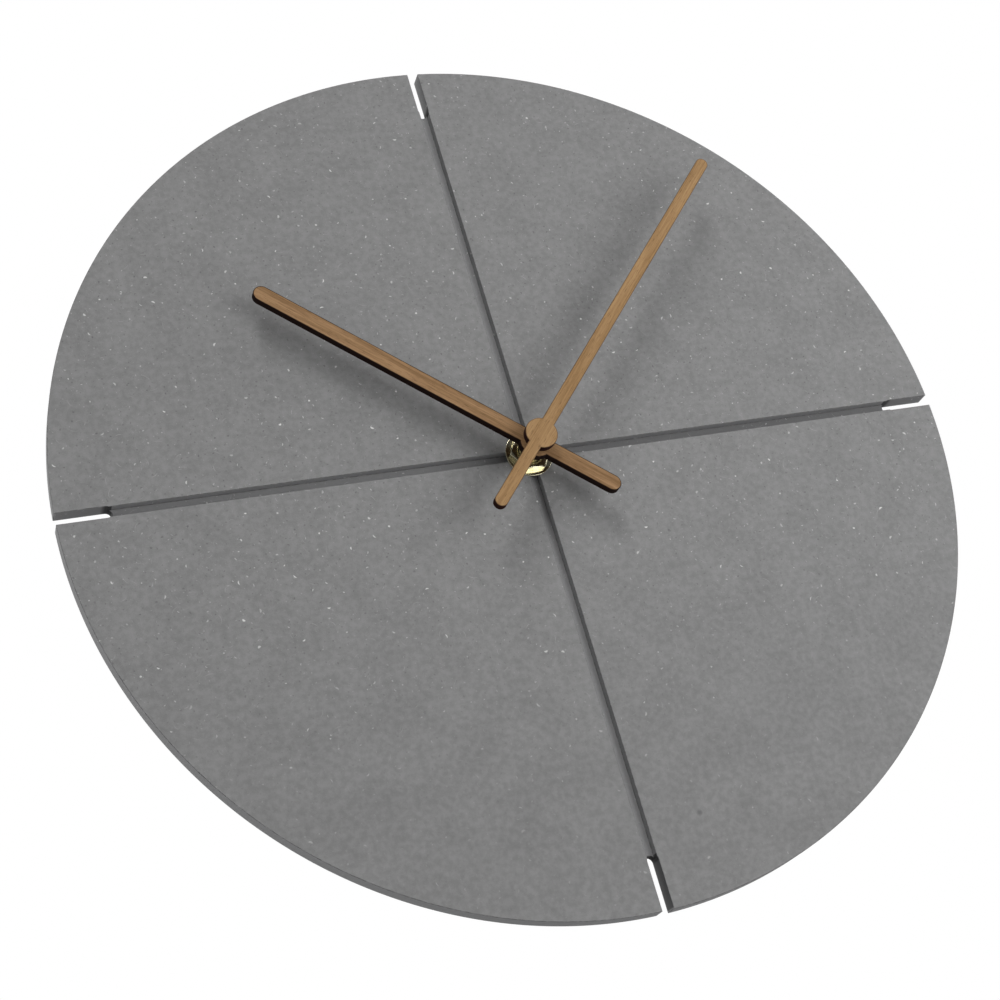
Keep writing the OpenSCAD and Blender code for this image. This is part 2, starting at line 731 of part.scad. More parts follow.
// Wheel held on the minute arbor by friction
module centre_wheel() {
    hub_r = stub_d / 2 + collet_wall;
    color([0.93, 0.92, 0.88]) place() difference() {
        union() {
            gear(centre_teeth, centre_module, centre_phase, centre_d, gear_t);
            disc(hub_r, centre_d - layer_gap, gear_t + 2 * layer_gap);
        }
        hole(stub_d / 2 + running_gap / 2, centre_d - layer_gap, gear_t + 2 * layer_gap);
    }
}

// A train wheel with its pinion and an arbor from the back plate to the wheel plate
module train_wheel(n, m, phase, d, pinion_n, pinion_m, pinion_phase, pinion_at, pinion_h) {
    gear(n, m, phase, d, gear_t);
    gear(pinion_n, pinion_m, pinion_phase, pinion_at, pinion_h);
    disc(pivot_d / 2, bearing_floor + running_gap, plate_top - bearing_floor - 2 * running_gap);
}

module third_wheel() {
    color([0.93, 0.92, 0.88]) place(third_at)
        train_wheel(third_teeth, third_module, third_phase, third_d,
                    third_pinion_teeth, centre_module, third_pinion_phase,
                    third_d + gear_t, centre_d - third_d + layer_gap / 2);
}

module intermediate_wheel() {
    color([0.93, 0.92, 0.88]) place(intermediate_at)
        train_wheel(intermediate_teeth, rotor_module, intermediate_phase, intermediate_d,
                    drive_teeth, drive_module, drive_phase,
                    intermediate_d + gear_t, seconds_d - intermediate_d + layer_gap / 2);
}

module seconds_wheel() {
    color([0.93, 0.92, 0.88]) place() difference() {
        union() {
            gear(seconds_teeth, drive_module, seconds_phase, seconds_d, gear_t);
            gear(seconds_pinion_teeth, third_module, seconds_pinion_phase, seconds_d + gear_t,
                 gear_t + 2 * layer_gap);
        }
        hole(seconds_arbor_d / 2, seconds_d, 2 * gear_t + 2 * layer_gap);
    }
}

module seconds_arbor() {
    color([0.78, 0.79, 0.8]) place()
        disc(seconds_arbor_d / 2, bearing_floor + running_gap, seconds_top - bearing_floor - running_gap);
}

module rotor_pinion() {
    pinion_d = intermediate_d - layer_gap / 4;
    pinion_h = gear_t + layer_gap;
    color([0.93, 0.92, 0.88]) place(rotor_at) {
        gear(rotor_teeth, rotor_module, rotor_phase, pinion_d, pinion_h);
        disc(pivot_d, pinion_d + pinion_h, magnet_at_d + magnet_h + layer_gap / 2 - pinion_d - pinion_h);
        disc(pivot_d / 2, bearing_floor + running_gap, plate_top - bearing_floor - 2 * running_gap);
    }
}

module rotor_magnet() {
    color([0.25, 0.25, 0.27]) place(rotor_at) difference() {
        disc(magnet_d / 2, magnet_at_d, magnet_h);
        hole(pivot_d, magnet_at_d, magnet_h);
    }
}

// Flat two-legged plate around the rotor, with the two notches that set its rest position
module stator() {
    hole_r = magnet_d / 2 + air_gap;
    outer_w = coil_span + leg_w;
    color([0.62, 0.63, 0.65]) place() translate([0, 0, stator_d]) linear_extrude(stator_t)
        difference() {
            union() {
                translate(rotor_at) square([outer_w, stator_bar_w], center = true);
                for (sx = [-1, 1]) translate([rotor_at.x + sx * coil_span / 2 - leg_w / 2, rotor_at.y])
                    square([leg_w, coil_y + leg_w / 2 - rotor_at.y]);
            }
            translate(rotor_at) {
                circle(r = hole_r);
                for (a = [45, 225]) rotate(a) translate([hole_r, 0]) circle(r = air_gap);
            }
        }
}

module coil_core() {
    color([0.62, 0.63, 0.65]) place()
        block([rotor_at.x - (coil_span + leg_w) / 2, coil_y - core_w / 2, core_d],
              [rotor_at.x + (coil_span + leg_w) / 2, coil_y + core_w / 2, core_d + core_t]);
}

// Lays a child drawn about the depth axis along X, centred on the coil
module along_coil() {
    translate([rotor_at.x, coil_y, coil_axis_d]) rotate([0, 90, 0]) children();
}

module coil_bobbin() {
    color([0.9, 0.89, 0.84]) place() difference() {
        along_coil() {
            disc(barrel_d / 2, -coil_len / 2, coil_len);
            for (s = [-1, 1]) disc(cheek_d / 2, s * (coil_len - cheek_t) / 2 - cheek_t / 2, cheek_t);
        }
        block([rotor_at.x - coil_len / 2 - over, coil_y - core_w / 2 - running_gap, core_d - running_gap],
              [rotor_at.x + coil_len / 2 + over, coil_y + core_w / 2 + running_gap,
               core_d + core_t + running_gap]);
    }
}

module coil_winding() {
    winding_len = coil_len - 2 * cheek_t;
    color([0.72, 0.4, 0.22]) place() along_coil() difference() {
        disc(winding_d / 2, -winding_len / 2, winding_len);
        hole(barrel_d / 2, -winding_len / 2, winding_len);
    }
}

module circuit_board() {
    color([0.12, 0.36, 0.2]) place() difference() {
        translate([0, board_y, board_d]) linear_extrude(board_t)
            round_rect(board_len, board_w, case_r - wall);
        for (s = peg_shares) translate([s * board_len, board_y, 0])
            hole(peg_r + running_gap, board_d, board_t);
    }
}

// Quartz crystal in its can, with two leads down to the board
module timing_crystal() {
    top = board_d + board_t;
    axis = top + crystal_d / 2;
    start = crystal_share * board_len;
    end = start + crystal_len;
    color([0.78, 0.79, 0.8]) place() {
        translate([start, board_y, axis]) rotate([0, 90, 0]) cylinder(r = crystal_d / 2, h = crystal_len);
        for (s = [-1, 1]) translate([0, board_y + s * crystal_d / 5, 0]) {
            translate([end - lead_r, 0, axis]) rotate([0, 90, 0]) cylinder(r = lead_r, h = crystal_d / 2);
            translate([end + crystal_d / 2 - lead_r, 0, 0]) disc(lead_r, top, crystal_d / 2 + lead_r);
        }
    }
}

// Resin blob over the chip, a slice of a ball
module controller_chip() {
    ball_r = (blob_d * blob_d / 4 + blob_h * blob_h) / 2 / blob_h;
    top = board_d + board_t;
    x = blob_share * board_len;
    color([0.05, 0.05, 0.05]) place() intersection() {
        translate([x, board_y, top + blob_h - ball_r]) sphere(r = ball_r);
        translate([x, board_y, 0]) disc(ball_r, top, blob_h + over);
    }
}

// Strip on the side wall, with a tail through the bay wall and a foot on the board
module contact_strip(side) {
    x_out = side * inner_w / 2;
    x_in = x_out - side * strip_t;
    low_x = min(x_out, x_in);
    high_x = max(x_out, x_in);
    foot_x = side * (board_len / 2 - tail_w / 2);
    board_top = board_d + board_t;
    foot_y = board_y - tail_w / 2;
    block([low_x, cell_y - contact_len / 2, cell_axis_d - contact_len / 2],
          [high_x, cell_y + contact_len / 2, cell_axis_d + contact_len / 2]);
    block([low_x, cell_y, tail_low], [high_x, foot_y + tail_w, tail_low + tail_w]);
    block([low_x, foot_y, board_top], [high_x, foot_y + tail_w, tail_low + tail_w]);
    block([min(foot_x, x_out), foot_y, board_top],
          [max(foot_x, x_out), foot_y + tail_w, board_top + strip_t]);
}

// The positive strip has a pressed dimple that meets the cell's button
module contact_positive() {
    reach = inner_w / 2 - strip_t - cell_len / 2;
    color([0.8, 0.8, 0.78]) place() {
        contact_strip(1);
        translate([cell_len / 2, cell_y, cell_axis_d]) rotate([0, 90, 0])
            cylinder(r = dimple_r, h = reach + strip_t / 2);
    }
}

// The negative strip has a bowed leaf that presses on the cell's base
module contact_negative() {
    x_wall = -inner_w / 2 + strip_t;
    x_tip = -cell_len / 2;
    half = contact_len / 2;
    tip = contact_len / 8;
    color([0.8, 0.8, 0.78]) place() {
        contact_strip(-1);
        translate([0, 0, cell_axis_d - contact_len / 4]) linear_extrude(contact_len / 2) polygon([
            [x_wall - strip_t / 2, cell_y - half], [x_wall, cell_y - half], [x_tip, cell_y - tip],
            [x_tip, cell_y + tip], [x_wall, cell_y + half], [x_wall - strip_t / 2, cell_y + half],
            [x_wall - strip_t / 2, cell_y + half - strip_t],
            [x_tip - strip_t, cell_y + tip], [x_tip - strip_t, cell_y - tip],
            [x_wall - strip_t / 2, cell_y - half + strip_t]]);
    }
}

// Lays a child drawn about the depth axis along X, from the cell's negative end
module along_cell() {
    translate([-cell_len / 2, cell_y, cell_axis_d]) rotate([0, 90, 0]) children();
}

module cell_can() {
    r = cell_d / 2;
    low = cell_end_t;
    high = cell_len - button_len - cell_end_t;
    color([0.2, 0.32, 0.5]) place() along_cell() rotate_extrude() polygon([
        [0, low], [r - cell_shoulder, low], [r, low + cell_shoulder / 2], [r, high - cell_shoulder / 2],
        [r - cell_shoulder, high], [0, high]]);
}

module cell_positive_cap() {
    high = cell_len - button_len;
    color([0.8, 0.8, 0.8]) place() along_cell() {
        disc(cell_d / 2 - cell_shoulder, high - cell_end_t, cell_end_t);
        disc(button_d / 2, high - cell_end_t, button_len + cell_end_t);
    }
}

module cell_negative_cap() {
    color([0.8, 0.8, 0.8]) place() along_cell() disc(cell_d / 2 - cell_shoulder, 0, cell_end_t);
}

dial();
brass_washer();
hex_nut();
threaded_post();
rubber_washer();
hanger();
hour_hand();
hour_hand_collet();
minute_hand();
minute_hand_collet();
case_front();
case_back();
wheel_plate();
hour_wheel();
minute_arbor();
minute_wheel();
setting_knob();
centre_wheel();
third_wheel();
seconds_wheel();
seconds_arbor();
intermediate_wheel();
rotor_pinion();
rotor_magnet();
stator();
coil_core();
coil_bobbin();
coil_winding();
circuit_board();
timing_crystal();
controller_chip();
contact_positive();
contact_negative();
cell_can();
cell_positive_cap();
cell_negative_cap();
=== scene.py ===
"""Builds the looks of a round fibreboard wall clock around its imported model.

The clock is a grey fibreboard dial with two wooden hands on a brass post, and a battery
quartz movement behind it. Lengths in the classes are millimetres in the front view: x
towards three o'clock, y towards twelve, and depth from the wall to the viewer. Finished
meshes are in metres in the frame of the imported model.
"""

from __future__ import annotations

import logging
import math
from dataclasses import dataclass, field
from enum import Enum
from typing import ClassVar, Iterable, Optional, Sequence, Union

import bmesh
import bpy
from bmesh.types import BMesh, BMVert
from mathutils import Matrix, Vector


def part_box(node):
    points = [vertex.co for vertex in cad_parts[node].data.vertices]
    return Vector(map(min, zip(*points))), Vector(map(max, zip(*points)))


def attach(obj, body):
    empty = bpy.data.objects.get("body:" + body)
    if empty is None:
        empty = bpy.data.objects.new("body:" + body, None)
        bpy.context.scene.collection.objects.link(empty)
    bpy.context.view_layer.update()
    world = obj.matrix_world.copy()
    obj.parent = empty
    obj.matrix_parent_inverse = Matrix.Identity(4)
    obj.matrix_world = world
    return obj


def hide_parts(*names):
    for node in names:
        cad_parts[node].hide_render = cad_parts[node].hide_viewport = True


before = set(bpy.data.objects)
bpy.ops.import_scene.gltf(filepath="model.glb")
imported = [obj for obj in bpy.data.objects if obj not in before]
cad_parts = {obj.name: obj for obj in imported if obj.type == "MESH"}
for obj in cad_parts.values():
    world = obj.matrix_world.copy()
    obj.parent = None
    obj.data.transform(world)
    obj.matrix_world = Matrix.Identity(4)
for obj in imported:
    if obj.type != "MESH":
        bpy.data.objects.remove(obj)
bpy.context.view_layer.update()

log = logging.getLogger("wall_clock")

MM = 0.001
PLACE = Matrix(((MM, 0, 0, 0), (0, 0, -MM, 0), (0, MM, 0, 0), (0, 0, 0, 1)))
EDGE = "edge"
CREASE = math.radians(32)
ORIGIN = (0.0, 0.0, 0.0)
NUMBER = "NodeSocketFloat"
VECTOR = "NodeSocketVector"
HOUR_ANGLE = 139.9
MINUTE_ANGLE = 46.8

Triple = tuple[float, float, float]
Colour = Triple
Place = Triple
Point = tuple[float, float]
Socket = bpy.types.NodeSocket
Sockets = bpy.types.NodeOutputs
Value = Union[float, Colour, Socket, None]
Feeds = Optional[dict[Union[int, str], Value]]


def tint(red: float, green: float, blue: float) -> Colour:
    """Turns a screen colour into the linear colour that a shader takes.

    Args:
        red: Red from 0 to 255.
        green: Green from 0 to 255.
        blue: Blue from 0 to 255.

    Returns:
        The linear colour, each part from 0 to 1.
    """
    parts = [part / 255 for part in (red, green, blue)]
    red, green, blue = (p / 12.92 if p <= 0.04045 else ((p + 0.055) / 1.055) ** 2.4 for p in parts)
    return (red, green, blue)


def polar(radius: float, degrees: float) -> Point:
    """Returns the front-view point at a radius and an angle from three o'clock."""
    angle = math.radians(degrees)
    return (radius * math.cos(angle), radius * math.sin(angle))


def depths(node: str) -> Point:
    """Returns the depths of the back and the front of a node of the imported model."""
    low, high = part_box(node)
    return (-high.y / MM, -low.y / MM)


class Wiring:
    """Adds nodes to one node tree and joins them.

    Attributes:
        tree: The node tree.
    """

    def __init__(self, tree: bpy.types.NodeTree) -> None:
        """Keeps the tree."""
        self.tree = tree

    def feed(self, socket: Socket, value: Value) -> None:
        """Joins a socket to another one, or writes a plain value into it."""
        if isinstance(value, Socket):
            self.tree.links.new(value, socket)
        elif value is not None:
            socket.default_value = value

    def add(self, kind: str, feeds: Feeds = None, **settings: object) -> bpy.types.Node:
        """Adds a node.

        Args:
            kind: The node's type name.
            feeds: A value or socket for each input that isn't left at its default.
            **settings: Properties that are set on the node.

        Returns:
            The new node.
        """
        node = self.tree.nodes.new(kind)
        for name, value in settings.items():
            setattr(node, name, value)
        for label, value in (feeds or {}).items():
            self.feed(node.inputs[label], value)
        return node

    def made(self, kind: str, feeds: Feeds = None, **settings: object) -> Socket:
        """Adds a node as add does and returns its first output."""
        return self.add(kind, feeds, **settings).outputs[0]

    def math(self, operation: str, first: Value, *others: Value) -> Socket:
        """Returns the result of Math nodes on one value, or on several from the left."""
        for other in others or (None,):
            first = self.made("ShaderNodeMath", {0: first, 1: other}, operation=operation)
        return first

    def times(self, *values: Value) -> Socket:
        """Returns the product of values."""
        return self.math("MULTIPLY", *values)

    def plus(self, *values: Value) -> Socket:
        """Returns the sum of values."""
        return self.math("ADD", *values)

    def less(self, first: Value, second: Value) -> Socket:
        """Returns a value less another one."""
        return self.math("SUBTRACT", first, second)

    def over(self, first: Value, second: Value) -> Socket:
        """Returns a value divided by another one."""
        return self.math("DIVIDE", first, second)

    def most(self, *values: Value) -> Socket:
        """Returns the largest of values."""
        return self.math("MAXIMUM", *values)

    def distance(self, across: Value, up: Value) -> Socket:
        """Returns how far a point lies from an axis."""
        return self.math("SQRT", self.plus(self.times(across, across), self.times(up, up)))

    def vector(self, operation: str, first: Value, second: Value = None) -> Socket:
        """Returns the vector result of a Vector Math node; SCALE takes a number second."""
        other = "Scale" if operation == "SCALE" else 1
        return self.made("ShaderNodeVectorMath", {0: first, other: second}, operation=operation)

    def split(self, vector: Value) -> tuple[Socket, ...]:
        """Returns the three numbers of a vector."""
        return tuple(self.add("ShaderNodeSeparateXYZ", {0: vector}).outputs)

    def join(self, x: Value = 0.0, y: Value = 0.0, z: Value = 0.0) -> Socket:
        """Returns a vector made of three numbers."""
        return self.made("ShaderNodeCombineXYZ", {0: x, 1: y, 2: z})

    def ramp(self, value: Value, low: float, high: float, start: float = 0.0, end: float = 1.0) -> Socket:
        """Returns a smooth step of a value.

        Args:
            value: The value.
            low: The value that gives start.
            high: The value that gives end.
            start: The result at low.
            end: The result at high.

        Returns:
            The stepped value.
        """
        feeds = {"Value": value, "From Min": low, "From Max": high, "To Min": start, "To Max": end}
        return self.made("ShaderNodeMapRange", feeds, interpolation_type="SMOOTHSTEP")

    def noise(self, vector: Value, scale: Value, detail: float = 2.0, roughness: float = 0.5) -> Socket:
        """Returns smooth noise from 0 to 1 with so many lumps to the unit."""
        feeds = {"Vector": vector, "Scale": scale, "Detail": detail, "Roughness": roughness}
        return self.made("ShaderNodeTexNoise", feeds)

    def mix(self, share: Value, first: Value, second: Value) -> Socket:
        """Returns a colour between two colours."""
        ends = [(*value, 1.0) if isinstance(value, tuple) else value for value in (first, second)]
        return self.add("ShaderNodeMix", {0: share, 6: ends[0], 7: ends[1]}, data_type="RGBA").outputs[2]

    def between(self, share: Value, first: Value, second: Value) -> Socket:
        """Returns a number between two numbers."""
        return self.made("ShaderNodeMix", {0: share, 2: first, 3: second}, data_type="FLOAT")


class Effect:
    """A shader node group that finishes share. It is wired once and placed in each."""

    name: ClassVar[str] = ""
    inputs: ClassVar[dict[str, Union[float, Colour]]] = {}
    outputs: ClassVar[dict[str, str]] = {}

    @classmethod
    def tree(cls) -> bpy.types.NodeTree:
        """Returns the node group, which the first call makes."""
        made = bpy.data.node_groups.get(cls.name)
        if made is None:
            made = bpy.data.node_groups.new(cls.name, "ShaderNodeTree")
            for label, value in cls.inputs.items():
                kind = VECTOR if isinstance(value, tuple) else NUMBER
                made.interface.new_socket(label, in_out="INPUT", socket_type=kind).default_value = value
            for label, kind in cls.outputs.items():
                made.interface.new_socket(label, in_out="OUTPUT", socket_type=kind)
            w = Wiring(made)
            given = w.add("NodeGroupInput").outputs
            end = w.add("NodeGroupOutput")
            for label, socket in cls.wire(w, given).items():
                w.feed(end.inputs[label], socket)
        return made

    @classmethod
    def wire(cls, w: Wiring, given: Sockets) -> dict[str, Socket]:
        """Wires the group.

        Args:
            w: The wiring of the group's tree.
            given: The sockets of the group's inputs.

        Returns:
            The socket that feeds each output.
        """
        raise NotImplementedError

    @classmethod
    def place(cls, w: Wiring, **values: Value) -> Sockets:
        """Places the group in a tree.

        Args:
            w: The wiring of the tree.
            **values: A value or socket for each input that isn't left at its default.

        Returns:
            The outputs of the placed group.
        """
        return w.add("ShaderNodeGroup", values, node_tree=cls.tree()).outputs


class BoardPlane(Effect):
    """Lays the pattern of a round board on its faces, and round it on its sides."""

    name = "board_plane"
    inputs = {"Vector": ORIGIN, "Normal": ORIGIN, "Radius": 0.15}
    outputs = {"Vector": VECTOR, "Side": NUMBER}

    @classmethod
    def wire(cls, w: Wiring, given: Sockets) -> dict[str, Socket]:
        """Wires the group: x and z on a face, length round the rim and depth on a side."""
        x, y, z = w.split(given["Vector"])
        facing = w.split(given["Normal"])[1]
        side = w.ramp(w.math("ABSOLUTE", facing), 0.7, 0.3)
        turn = w.times(w.math("ARCTAN2", z, x), w.times(given["Radius"], 2.0))
        flat = w.join(w.between(side, x, w.plus(x, z, turn)), w.between(side, z, y))
        return {"Vector": flat, "Side": side}


class Flecks(Effect):
    """Scatters short, slightly bent fibres over a plane, each turned its own way."""

    name = "flecks"
    inputs = {"Vector": ORIGIN, "Cell": 0.004, "Length": 0.0005, "Width": 0.0001, "Share": 0.5, "Seed": 0.0}
    outputs = {"Mask": NUMBER}

    @classmethod
    def wire(cls, w: Wiring, given: Sockets) -> dict[str, Socket]:
        """Wires the group: one fibre in each cell, at the cell's point."""
        fit = w.over(1.0, given["Cell"])
        shift = w.join(given["Seed"], w.times(given["Seed"], 1.7))
        shifted = w.vector("ADD", w.vector("SCALE", given["Vector"], fit), shift)
        cells = w.add("ShaderNodeTexVoronoi", {"Vector": shifted, "Scale": 1.0}, voronoi_dimensions="2D")
        first, second, third = w.add("ShaderNodeSeparateColor", {0: cells.outputs["Color"]}).outputs
        away = w.vector("SUBTRACT", shifted, cells.outputs["Position"])
        turned = {"Vector": away, "Angle": w.times(first, math.tau)}
        x, y, _ = w.split(w.made("ShaderNodeVectorRotate", turned, rotation_type="Z_AXIS"))
        length = w.times(given["Length"], fit, w.plus(second, 0.4))
        width = w.times(given["Width"], fit, w.plus(third, 0.5))
        along = w.over(x, length)
        bend = w.times(along, along, w.times(length, 0.35))
        across = w.over(w.plus(y, bend), width)
        lot = w.math("FRACT", w.plus(w.times(first, 57.3), w.times(third, 31.7)))
        there = w.math("LESS_THAN", lot, given["Share"])
        bright = w.ramp(w.math("FRACT", w.times(second, 41.9)), 0.0, 1.0, 0.35, 1.0)
        return {"Mask": w.times(w.ramp(w.distance(along, across), 1.0, 0.45), there, bright)}


class Clouds(Effect):
    """Soft uneven shade, as in dyed board, moulded plastic or plated steel."""

    name = "clouds"
    inputs = {"Vector": ORIGIN, "Size": 0.01}
    outputs = {"Value": NUMBER}

    @classmethod
    def wire(cls, w: Wiring, given: Sockets) -> dict[str, Socket]:
        """Wires the group: noise in lumps of the given size."""
        return {"Value": w.ramp(w.noise(given["Vector"], w.over(1.0, given["Size"]), 4.0, 0.6), 0.3, 0.7)}


class MouldGrain(Effect):
    """The fine, even roughness of a spark-eroded mould."""

    name = "mould_grain"
    inputs = {"Vector": ORIGIN, "Size": 0.0003}
    outputs = {"Height": NUMBER}

    @classmethod
    def wire(cls, w: Wiring, given: Sockets) -> dict[str, Socket]:
        """Wires the group: two sizes of noise."""
        coarse = w.noise(given["Vector"], w.over(1.0, given["Size"]), 2.0, 0.6)
        fine = w.noise(given["Vector"], w.over(3.3, given["Size"]), 1.0)
        return {"Height": w.plus(w.times(coarse, 0.7), w.times(fine, 0.3))}


class TurnedMarks(Effect):
    """The faint rings that a lathe tool leaves round the depth axis."""

    name = "turned_marks"
    inputs = {"Vector": ORIGIN, "Size": 0.0001}
    outputs = {"Height": NUMBER}

    @classmethod
    def wire(cls, w: Wiring, given: Sockets) -> dict[str, Socket]:
        """Wires the group: noise over the distance from the axis and the depth."""
        x, y, z = w.split(given["Vector"])
        fit = w.over(1.0, given["Size"])
        spot = w.join(w.times(w.distance(x, z), fit), w.times(y, fit), w.math("ARCTAN2", z, x))
        return {"Height": w.noise(spot, 1.0, 2.0)}


class BrushedLines(Effect):
    """Fine parallel lines along the upright axis, as rolling or brushing leaves them."""

    name = "brushed_lines"
    inputs = {"Vector": ORIGIN, "Size": 0.0001}
    outputs = {"Height": NUMBER}

    @classmethod
    def wire(cls, w: Wiring, given: Sockets) -> dict[str, Socket]:
        """Wires the group: noise that is stretched along the upright axis."""
        drawn = w.vector("MULTIPLY", given["Vector"], (1.0, 1.0, 0.03))
        return {"Height": w.noise(drawn, w.over(1.0, given["Size"]), 3.0)}


class WoodGrain(Effect):
    """Straight grain along x: broad bands, fine streaks and short dark pores."""

    name = "wood_grain"
    inputs = {"Vector": ORIGIN, "Seed": 0.0}
    outputs = {"Bands": NUMBER, "Streaks": NUMBER, "Pores": NUMBER}

    @classmethod
    def wire(cls, w: Wiring, given: Sockets) -> dict[str, Socket]:
        """Wires the group: three noises, each drawn out along the grain."""
        moved = w.vector("ADD", given["Vector"], w.join(given["Seed"], given["Seed"], given["Seed"]))
        bands = w.noise(w.vector("MULTIPLY", moved, (22.0, 420.0, 420.0)), 1.0, 2.0)
        streaks = w.noise(w.vector("MULTIPLY", moved, (70.0, 2100.0, 2100.0)), 1.0, 3.0, 0.6)
        pores = w.noise(w.vector("MULTIPLY", moved, (330.0, 6500.0, 6500.0)), 1.0, 1.0)
        return {"Bands": w.ramp(bands, 0.3, 0.7), "Streaks": w.ramp(streaks, 0.3, 0.7),
                "Pores": w.ramp(pores, 0.58, 0.72)}


class EdgeRub(Effect):
    """Wear along the edges, broken up so that it never runs as one even line."""

    name = "edge_rub"
    inputs = {"Vector": ORIGIN, "Edge": 0.0, "Size": 0.001, "Amount": 0.5}
    outputs = {"Mask": NUMBER}

    @classmethod
    def wire(cls, w: Wiring, given: Sockets) -> dict[str, Socket]:
        """Wires the group: the edge mask times noise."""
        lumps = w.noise(given["Vector"], w.over(1.0, given["Size"]), 3.0)
        return {"Mask": w.times(given["Edge"], w.ramp(lumps, 0.35, 0.6, 0.25, 1.0), given["Amount"])}


class Relief(Enum):
    """How a surface was made, which sets its fine relief."""

    MOULDED = MouldGrain
    TURNED = TurnedMarks
    BRUSHED = BrushedLines


@dataclass(frozen=True)
class Look:
    """What a finish feeds to its shader.

    Attributes:
        colour: The colour.
        roughness: The roughness.
        height: The relief from 0 to 1.
    """

    colour: Socket
    roughness: Socket
    height: Socket


@dataclass(frozen=True)
class Finish:
    """A finish of one softly clouded colour with a fine relief and rubbed edges.

    Attributes:
        name: Name of the material.
        colour: Main colour.
        shade: Second colour of the clouds.
        slot: The record's material slot, where it isn't the name. It is not used.
        roughness: Mean roughness.
        swing: How far the roughness varies with the clouds.
        metallic: 1 for bare metal.
        specular: Strength of the plain reflection.
        coat: Weight of a clear coat.
        cloud: Size of the clouds in millimetres.
        relief: How the surface was made.
        grain: Size of the relief in millimetres.
        depth: Depth of the relief in millimetres.
        rubbed: Colour of worn edges.
        rub: How much the edges are worn.
        rub_size: Size of the gaps in the wear in millimetres.
    """

    name: str
    colour: Colour
    shade: Colour
    slot: str = ""
    roughness: float = 0.5
    swing: float = 0.12
    metallic: float = 0.0
    specular: float = 0.5
    coat: float = 0.0
    cloud: float = 5.0
    relief: Relief = Relief.MOULDED
    grain: float = 0.25
    depth: float = 0.006
    rubbed: Colour = (0.3, 0.3, 0.3)
    rub: float = 0.35
    rub_size: float = 0.9

    def material(self) -> bpy.types.Material:
        """Returns the material, which the first call makes."""
        label = f"{self.name}_finish"
        made = bpy.data.materials.get(label)
        if made is None:
            made = bpy.data.materials.new(label)
            made.use_nodes = True
            w = Wiring(made.node_tree)
            look = self.look(w, self.coordinates(w))
            relief = w.made("ShaderNodeBump", {"Distance": self.depth * MM, "Height": look.height})
            shader = made.node_tree.nodes["Principled BSDF"]
            for socket, value in (
                ("Roughness", self.roughness), ("Metallic", self.metallic),
                ("Specular IOR Level", self.specular), ("Coat Weight", self.coat),
                ("Base Color", look.colour), ("Roughness", look.roughness), ("Normal", relief),
            ):
                w.feed(shader.inputs[socket], value)
        return made

    def coordinates(self, w: Wiring) -> Socket:
        """Returns the place on the piece."""
        return w.add("ShaderNodeTexCoord").outputs["Object"]

    def edge(self, w: Wiring) -> Socket:
        """Returns the mask that is 1 on the piece's rounded edges."""
        return w.add("ShaderNodeAttribute", attribute_name=EDGE).outputs["Fac"]

    def clouds(self, w: Wiring, at: Socket) -> Socket:
        """Returns the soft clouds from 0 to 1."""
        return Clouds.place(w, Vector=at, Size=self.cloud * MM)["Value"]

    def uneven(self, w: Wiring, cloud: Socket) -> Socket:
        """Returns the roughness, which varies with the clouds."""
        return w.between(cloud, self.roughness - self.swing / 2, self.roughness + self.swing / 2)

    def worn(self, w: Wiring, at: Socket, colour: Socket) -> Socket:
        """Returns a colour with worn edges."""
        wear = EdgeRub.place(w, Vector=at, Edge=self.edge(w), Size=self.rub_size * MM, Amount=self.rub)
        return w.mix(wear["Mask"], colour, self.rubbed)

    def look(self, w: Wiring, at: Socket) -> Look:
        """Wires the colour, roughness and relief.

        Args:
            w: The wiring of the material's tree.
            at: The place on the piece.

        Returns:
            What the shader takes.
        """
        cloud = self.clouds(w, at)
        colour = self.worn(w, at, w.mix(cloud, self.colour, self.shade))
        height = self.relief.value.place(w, Vector=at, Size=self.grain * MM)["Height"]
        return Look(colour, self.uneven(w, cloud), height)


@dataclass(frozen=True)
class Fibre:
    """Short fibres of one kind in the board.

    Attributes:
        cell: Mean distance between them in millimetres.
        length: Their length in millimetres.
        width: Their width in millimetres.
        share: Share of the cells that hold one.
        strength: How clearly they show.
        seed: Offset that gives each kind its own places.
    """

    cell: float
    length: float
    width: float
    share: float
    strength: float
    seed: float

    def mask(self, w: Wiring, flat: Socket) -> Socket:
        """Returns the mask of the fibres on the board's plane."""
        return Flecks.place(w, Vector=flat, Cell=self.cell * MM, Length=self.length * MM,
                            Width=self.width * MM, Share=self.share, Seed=self.seed)["Mask"]


